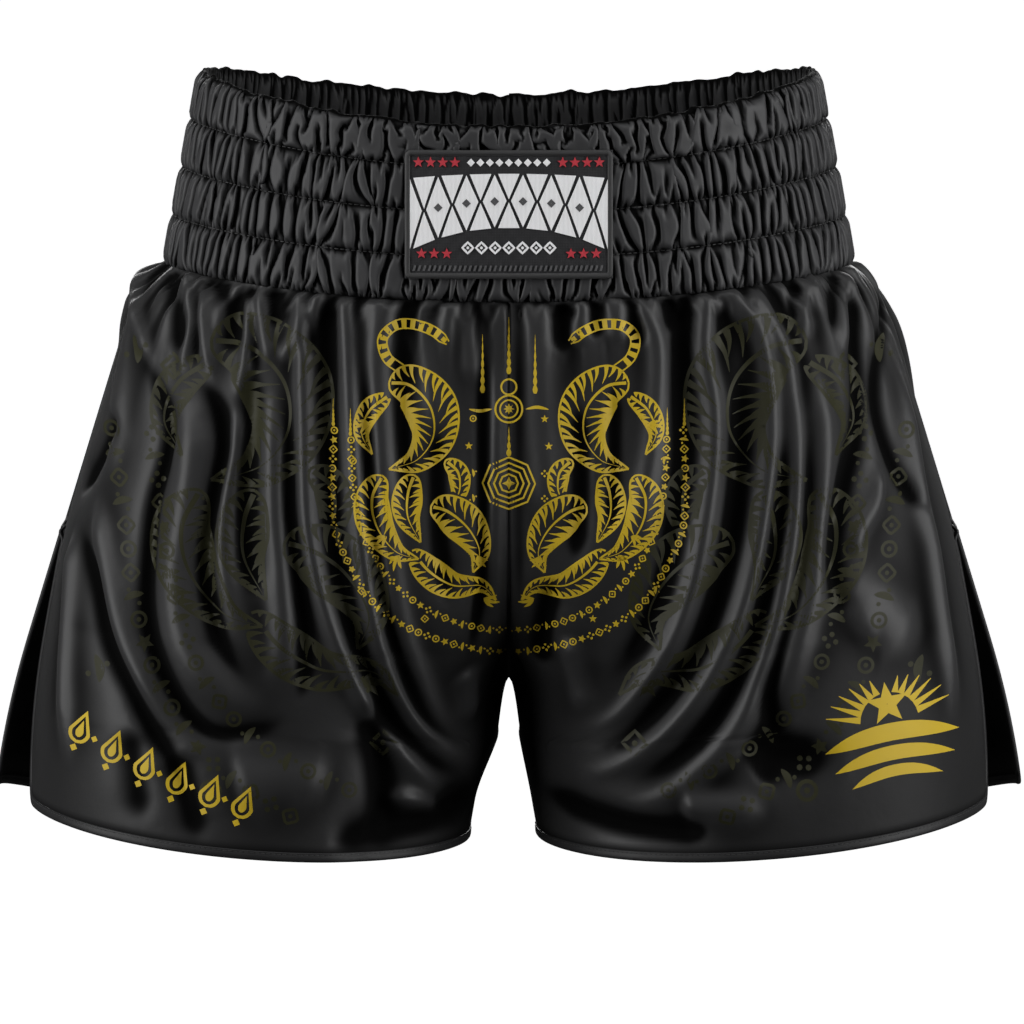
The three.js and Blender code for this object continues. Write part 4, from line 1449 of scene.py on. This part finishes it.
def label_stars():
    """Stars at both ends of the rows above and below the lattice."""
    places = [(sign * x, -18.4) for sign in (-1, 1) for x in (43.0, 37.2, 31.4, 25.6)]
    places += [(sign * x, -61.6) for sign in (-1, 1) for x in (41.5, 35.5, 29.5)]
    return [disc(place, star_radius(2.7), 20) for place in places]


def label_dashes():
    """Slanted dashes along the foot of the label."""
    return [between([(x, -67.2), (x + 1.1, -67.2)], [(x - 0.8, -69.9), (x + 0.3, -69.9)], 3)
            for x in np.arange(-45.0, 45.0, 2.4)]


# ---- materials --------------------------------------------------------------------------------------
class Finish:
    """A material, with short ways to add and link its nodes. A value given to a node's input is
    either a number or the output of another node."""

    def __init__(self, name):
        self.material = bpy.data.materials.new(name)
        self.material.use_nodes = True
        self.nodes = self.material.node_tree.nodes
        self.shader = self.nodes["Principled BSDF"]

    def coords(self):
        """The object's coordinates, from one node that every texture shares."""
        node = self.nodes.get("Texture Coordinate") or self.nodes.new("ShaderNodeTexCoord")
        return node.outputs["Object"]

    def put(self, node, values):
        for socket, value in values.items():
            if isinstance(value, bpy.types.NodeSocket):
                self.material.node_tree.links.new(value, node.inputs[socket])
            else:
                node.inputs[socket].default_value = value

    def add(self, kind, output, values, **settings):
        """A new node with its settings and inputs; the answer is one of its outputs."""
        node = self.nodes.new("ShaderNode" + kind)
        for setting, value in settings.items():
            setattr(node, setting, value)
        self.put(node, values)
        return node.outputs[output]

    def ramp(self, source, low, high, ends=(0.0, 1.0)):
        return self.add("MapRange", "Result", {"Value": source, "From Min": ends[0],
                                               "From Max": ends[1], "To Min": low, "To Max": high})

    def noise(self, scale, detail=3.0):
        return self.add("TexNoise", "Fac", {"Vector": self.coords(), "Scale": scale, "Detail": detail})

    def wave(self, scale, direction, distortion):
        return self.add("TexWave", "Fac", {"Vector": self.coords(), "Scale": scale,
                                           "Distortion": distortion}, bands_direction=direction)

    def colour(self, factor, low, high):
        return self.add("Mix", 2, {"Factor": factor, 6: (*low, 1), 7: (*high, 1)}, data_type="RGBA")

    def bump(self, height, strength, distance, **under):
        return self.add("Bump", "Normal", {"Height": height, "Strength": strength,
                                           "Distance": distance, **under})

    def finished(self, **values):
        """Give the shader its values, named as its inputs with _ for each space."""
        self.put(self.shader, {name.replace("_", " "): value for name, value in values.items()})
        return self.material


def satin(name, dark, light, rough, gloss, sheen, shade_in_folds=False):
    """Satin: a fine twill of threads, soft gloss and small creases. In folds it can carry painted shade:
    its colour is darkened and its gloss lowered by the shade factor in the mesh's 'open' attribute, and
    its roughness is raised there.
    """
    made = Finish(name)
    mottle = made.noise(45.0)
    colour = made.colour(mottle, dark, light)
    if shade_in_folds:
        # Painted shade: the colour is multiplied by the shade factor, and the gloss falls with it,
        # dimming reflections in the folds.
        fold = made.nodes.new("ShaderNodeAttribute")
        fold.attribute_name = "open"
        colour = made.add("Mix", 2, {"Factor": 1.0, 6: colour, 7: fold.outputs["Color"]},
                          data_type="RGBA", blend_type="MULTIPLY")
        level = made.ramp(fold.outputs["Fac"], 0.85, rough[0], ends=(0.0, 0.8))
        gloss = made.ramp(fold.outputs["Fac"], 0.05, gloss)
    else:
        level = made.ramp(mottle, *rough, ends=(0.3, 0.7))
    creases = made.bump(made.noise(95.0, 4.0), 0.22, 0.0011)
    threads = made.bump(made.wave(900.0, "DIAGONAL", 1.2), 0.12, 0.00006, Normal=creases)
    return made.finished(Base_Color=colour, Roughness=level, Specular_IOR_Level=gloss,
                         Sheen_Weight=sheen, Sheen_Roughness=0.45, Normal=threads)


def woven(name, dark, light, scale):
    """A flat weave or knit: crossing threads that are seen one by one."""
    made = Finish(name)
    warp, weft = [made.wave(scale, direction, 0.4) for direction in ("X", "Z")]
    cross = made.add("Math", 0, {0: warp, 1: weft}, operation="MULTIPLY")
    return made.finished(Base_Color=made.colour(cross, dark, light),
                         Roughness=made.ramp(made.noise(160.0), 0.72, 0.84),
                         Specular_IOR_Level=0.3, Normal=made.bump(cross, 0.5, 0.00018))


def thread(name, dark, light, direction="Z"):
    """Spun or embroidered thread, with fine strands along one direction."""
    made = Finish(name)
    strands = made.wave(520.0, direction, 2.0)
    return made.finished(Base_Color=made.colour(strands, dark, light),
                         Roughness=made.ramp(made.noise(220.0), 0.55, 0.69),
                         Sheen_Weight=0.05, Normal=made.bump(strands, 0.45, 0.00012))


# ---- studio -----------------------------------------------------------------------------------------
def place(name, data, location, target):
    """An object that stands somewhere in the studio and looks at a target, in metres."""
    obj = bpy.data.objects.new(name, data)
    obj.location = location
    obj.rotation_euler = (Vector(target) - Vector(location)).to_track_quat("-Z", "Y").to_euler()
    bpy.context.scene.collection.objects.link(obj)
    return obj


def build_floor():
    """A white floor that only the camera sees."""
    floor = bpy.data.meshes.new("studio_floor")
    s = 30.0
    z = -0.95
    floor.from_pydata([(-s, -s, z), (s, -s, z), (s, s, z), (-s, s, z)], [], [(0, 1, 2, 3)])
    white = (1, 1, 1, 1)
    floor.materials.append(Finish("floor_white").finished(
        Base_Color=(0.9, 0.9, 0.9, 1), Roughness=0.9, Emission_Color=white, Emission_Strength=1.0))
    obj = bpy.data.objects.new("studio_floor", floor)
    bpy.context.scene.collection.objects.link(obj)
    obj.visible_glossy = False
    obj.visible_diffuse = False


def build_lights():
    """A world that is white to the camera and dim to the cloth, and four softboxes."""
    world = bpy.data.worlds.new("studio")
    bpy.context.scene.world = world
    world.use_nodes = True
    nodes, links = world.node_tree.nodes, world.node_tree.links
    seen = nodes.new("ShaderNodeLightPath").outputs["Is Camera Ray"]
    level = nodes.new("ShaderNodeMapRange")
    level.inputs["To Min"].default_value = 0.03
    links.new(seen, level.inputs["Value"])
    links.new(level.outputs["Result"], nodes["Background"].inputs["Strength"])
    nodes["Background"].inputs["Color"].default_value = (1, 1, 1, 1)
    for name, location, size, watts in (("left", (-1.55, -0.65, 0.25), (1.2, 1.9), 38),
                                        ("right", (1.55, -0.65, 0.25), (1.2, 1.9), 38),
                                        ("top", (0, -0.9, 1.5), (1.6, 0.6), 11),
                                        ("back", (0, 1.9, 0.7), (2.2, 0.9), 36)):
        light = bpy.data.lights.new("softbox_" + name, "AREA")
        light.shape = "RECTANGLE"
        light.size, light.size_y = size
        light.energy = watts
        place(light.name, light, location, (0, 0, -0.17))
    bpy.context.scene.view_settings.view_transform = "Standard"


def build_camera():
    """A long lens far off, a little above the shorts; width is what it sees at the target."""
    distance, elevation, width = 12.0, np.radians(4.6), 0.4915
    target = Vector((0.0015, 0.0, -0.1935))
    camera = bpy.data.cameras.new("camera")
    camera.sensor_width = 36.0
    camera.lens = 36.0 * distance / width
    camera.clip_end = 100.0
    away = Vector((0, -np.cos(elevation), np.sin(elevation))) * distance
    bpy.context.scene.camera = place("camera", camera, target + away, target)


# ---- assembly ---------------------------------------------------------------------------------------
def settle_in(piece, slot, *nodes):
    """Every piece rides on the one body and may replace CAD nodes, which it hides; slot is not used."""
    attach(piece, "root")
    if nodes:
        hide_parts(*nodes)
    return piece


build_camera()
build_floor()
build_lights()

cloth = satin("black_satin", (0.019, 0.019, 0.0195), (0.025, 0.025, 0.0255), (0.42, 0.5), 0.21, 0.02,
              shade_in_folds=True)
band_cloth = satin("gathered_satin", (0.021, 0.021, 0.022), (0.028, 0.028, 0.0295), (0.52, 0.6), 0.27,
                   0.01, shade_in_folds=True)
# Painted shade: a much darker copy of the black satin for the seam allowances and the gusset, which lie
# in the shade inside the shorts and between the legs.
shaded_seam_cloth = satin("seam_satin", (0.004, 0.004, 0.004), (0.006, 0.006, 0.006), (0.6, 0.7), 0.2, 0.0)
tape = satin("binding_satin", (0.009, 0.009, 0.0095), (0.014, 0.014, 0.0145), (0.46, 0.54), 0.22, 0.02)
gold = satin("gold_print", (0.38, 0.262, 0.011), (0.48, 0.338, 0.018), (0.5, 0.58), 0.22, 0.0)
olive = satin("tonal_print", (0.017, 0.017, 0.0075), (0.022, 0.022, 0.01), (0.5, 0.58), 0.14, 0.0)
black_thread = thread("black_thread", (0.007, 0.007, 0.0075), (0.018, 0.018, 0.0185))
knit = woven("knitted_elastic", (0.012, 0.012, 0.012), (0.035, 0.035, 0.036), 260.0)
label_ground = woven("label_ground", (0.008, 0.008, 0.009), (0.02, 0.02, 0.022), 420.0)
white = thread("label_white", (0.5, 0.5, 0.51), (0.8, 0.8, 0.81), "X")
red = thread("label_red", (0.28, 0.006, 0.016), (0.42, 0.012, 0.026), "X")
grey = thread("label_grey", (0.03, 0.03, 0.032), (0.06, 0.06, 0.063), "X")

casing, band_outer = build_casing(band_cloth)
settle_in(casing, "satin", "waistband_casing")
band_normals = grid_normals(band_outer)
band_normals *= np.sign(np.sum(band_normals[..., :2] * band_outer[..., :2], axis=-1))[..., None]
for i in range(1, CHANNELS):
    row = i * CHANNEL_ROWS
    around = band_outer[row] + band_normals[row] * 0.05
    stitched = stitch_mesh(f"channel_thread_{i}", *along_line(around, band_normals[row], 2.9), 2.2,
                           0.24, black_thread)
    settle_in(stitched, "thread", f"channel_stitching_{i}")
for i in range(1, CHANNELS + 1):
    for material_slot in bpy.data.objects[f"waist_elastic_{i}"].material_slots:
        material_slot.material = knit

panels, normals, cloths, on_panel = {}, {}, {}, {}
for side in ("left", "right"):
    for face in ("front", "back"):
        grid, cloth_shade_factor = relaxed_panel(face, side)
        up = outward_normals(grid, side)
        slit_row = 1 + int(SLIT_DROP / edge_drop(face, 0.0) * (len(grid) - 2))
        crease(grid, up, 0, slice(0, slit_row), 0.8)
        crease(grid, up, -1, slice(0, None), 0.8)
        panels[face, side], normals[face, side] = grid, up
        panel = thick_sheet(f"{face}_{side}_cloth", grid, up, CLOTH, cloth)
        # Painted shade: the inner face takes the outer face's shade factor at 0.6, darker for the shade
        # inside the leg.
        paint_shade(panel, np.concatenate([cloth_shade_factor, 0.6 * cloth_shade_factor]))
        cloths[face, side] = settle_in(panel, "satin", f"{face}_{side}_panel")
        bound, edge_stitches = build_binding(face, side, grid, up, tape, black_thread)
        on_panel[face, side] = [settle_in(bound, "binding", f"{face}_{side}_edge_binding"),
                                settle_in(edge_stitches, "thread")]

ALLOWANCE = 7                      # columns of a panel that its seam allowance covers
NEAR_SIDE, NEAR_CENTRE = slice(ALLOWANCE, None, -1), slice(-ALLOWANCE, None)


def beside_seam(face, side, drops, across, columns):
    """A panel and its normals beside one of its seams, with the columns nearest the seam last."""
    return [rows_at(values[face, side], face, drops, across)[:, columns] for values in (panels, normals)]


for face in ("front", "back"):
    drops = np.linspace(-2.0, float(LEG[face].curve_drop(GUSSET_HALF_LENGTH)) + 1.0, 90)
    # The right half isn't turned round here, so inside the shorts this strip doubles back on it.
    halves = [beside_seam(face, side, drops, 1.0, NEAR_CENTRE) for side in ("left", "right")]
    centre = strip(f"{face}_centre_allowance", *halves, shaded_seam_cloth)
    on_panel[face, "left"].append(settle_in(centre, "satin"))
for side in ("left", "right"):
    start = max(float(LEG[f].curve_drop(0.0)) for f in ("front", "back")) + GUSSET_DROP - 3.0
    low = float(hem_drop("front", 1.0)) - 1.0
    for name, across, columns, drops in (
            ("side", 0.0, NEAR_SIDE, np.linspace(-2.0, SLIT_DROP, 90)),
            ("inseam", 1.0, NEAR_CENTRE, np.linspace(start, low, 60))):
        front = beside_seam("front", side, drops, across, columns)
        back = [values[:, ::-1] for values in beside_seam("back", side, drops, across, columns)]
        seam = strip(f"{side}_{name}_allowance", front, back, shaded_seam_cloth)
        on_panel["back", side].append(settle_in(seam, "satin"))
    tack = build_bar_tack(side, panels, normals, black_thread)
    on_panel["back", side].append(settle_in(tack, "thread", f"slit_bar_tack_{side}"))
    hole = build_buttonhole(side, black_thread)
    settle_in(hole, "thread", f"drawcord_buttonhole_{side}")
gusset = settle_in(build_gusset(shaded_seam_cloth), "satin", "crotch_gusset")

skin = Skin([panels["front", "left"], panels["front", "right"]])
tonal = tonal_art()
for name, side, pieces, ink in (("tonal_print_left", "left", mirrored(tonal), olive),
                                ("tonal_print_right", "right", tonal, olive),
                                ("gold_print_front", "left", front_art(), gold),
                                ("gold_print_left_hem", "left", hem_ornament(), gold),
                                ("gold_print_right_hem", "right", hem_emblem(), gold)):
    high = 0.04 if ink is olive else 0.06
    printed = flat_work(name, pieces, skin, -0.1, high, ink)
    on_panel["front", side].append(settle_in(printed, "satin"))

patch, label_edge = build_label(label_ground, black_thread)
settle_in(patch, "label", "label_patch")
on_patch = [settle_in(label_edge, "thread", "label_border_stitching")]
for name, pieces, ink, high in (("label_lattice", label_blocks(), white, 0.42),
                                ("label_stars", label_stars(), red, 0.42),
                                ("label_beads", label_beads(), grey, 0.56),
                                ("label_dashes", label_dashes(), grey, 0.42)):
    on_patch.append(settle_in(flat_work(name, pieces, label_surface, 0.0, high, ink), "label"))

# The girth round the middle of the band, in metres.
GIRTH = even_angles(3)[1] * MM
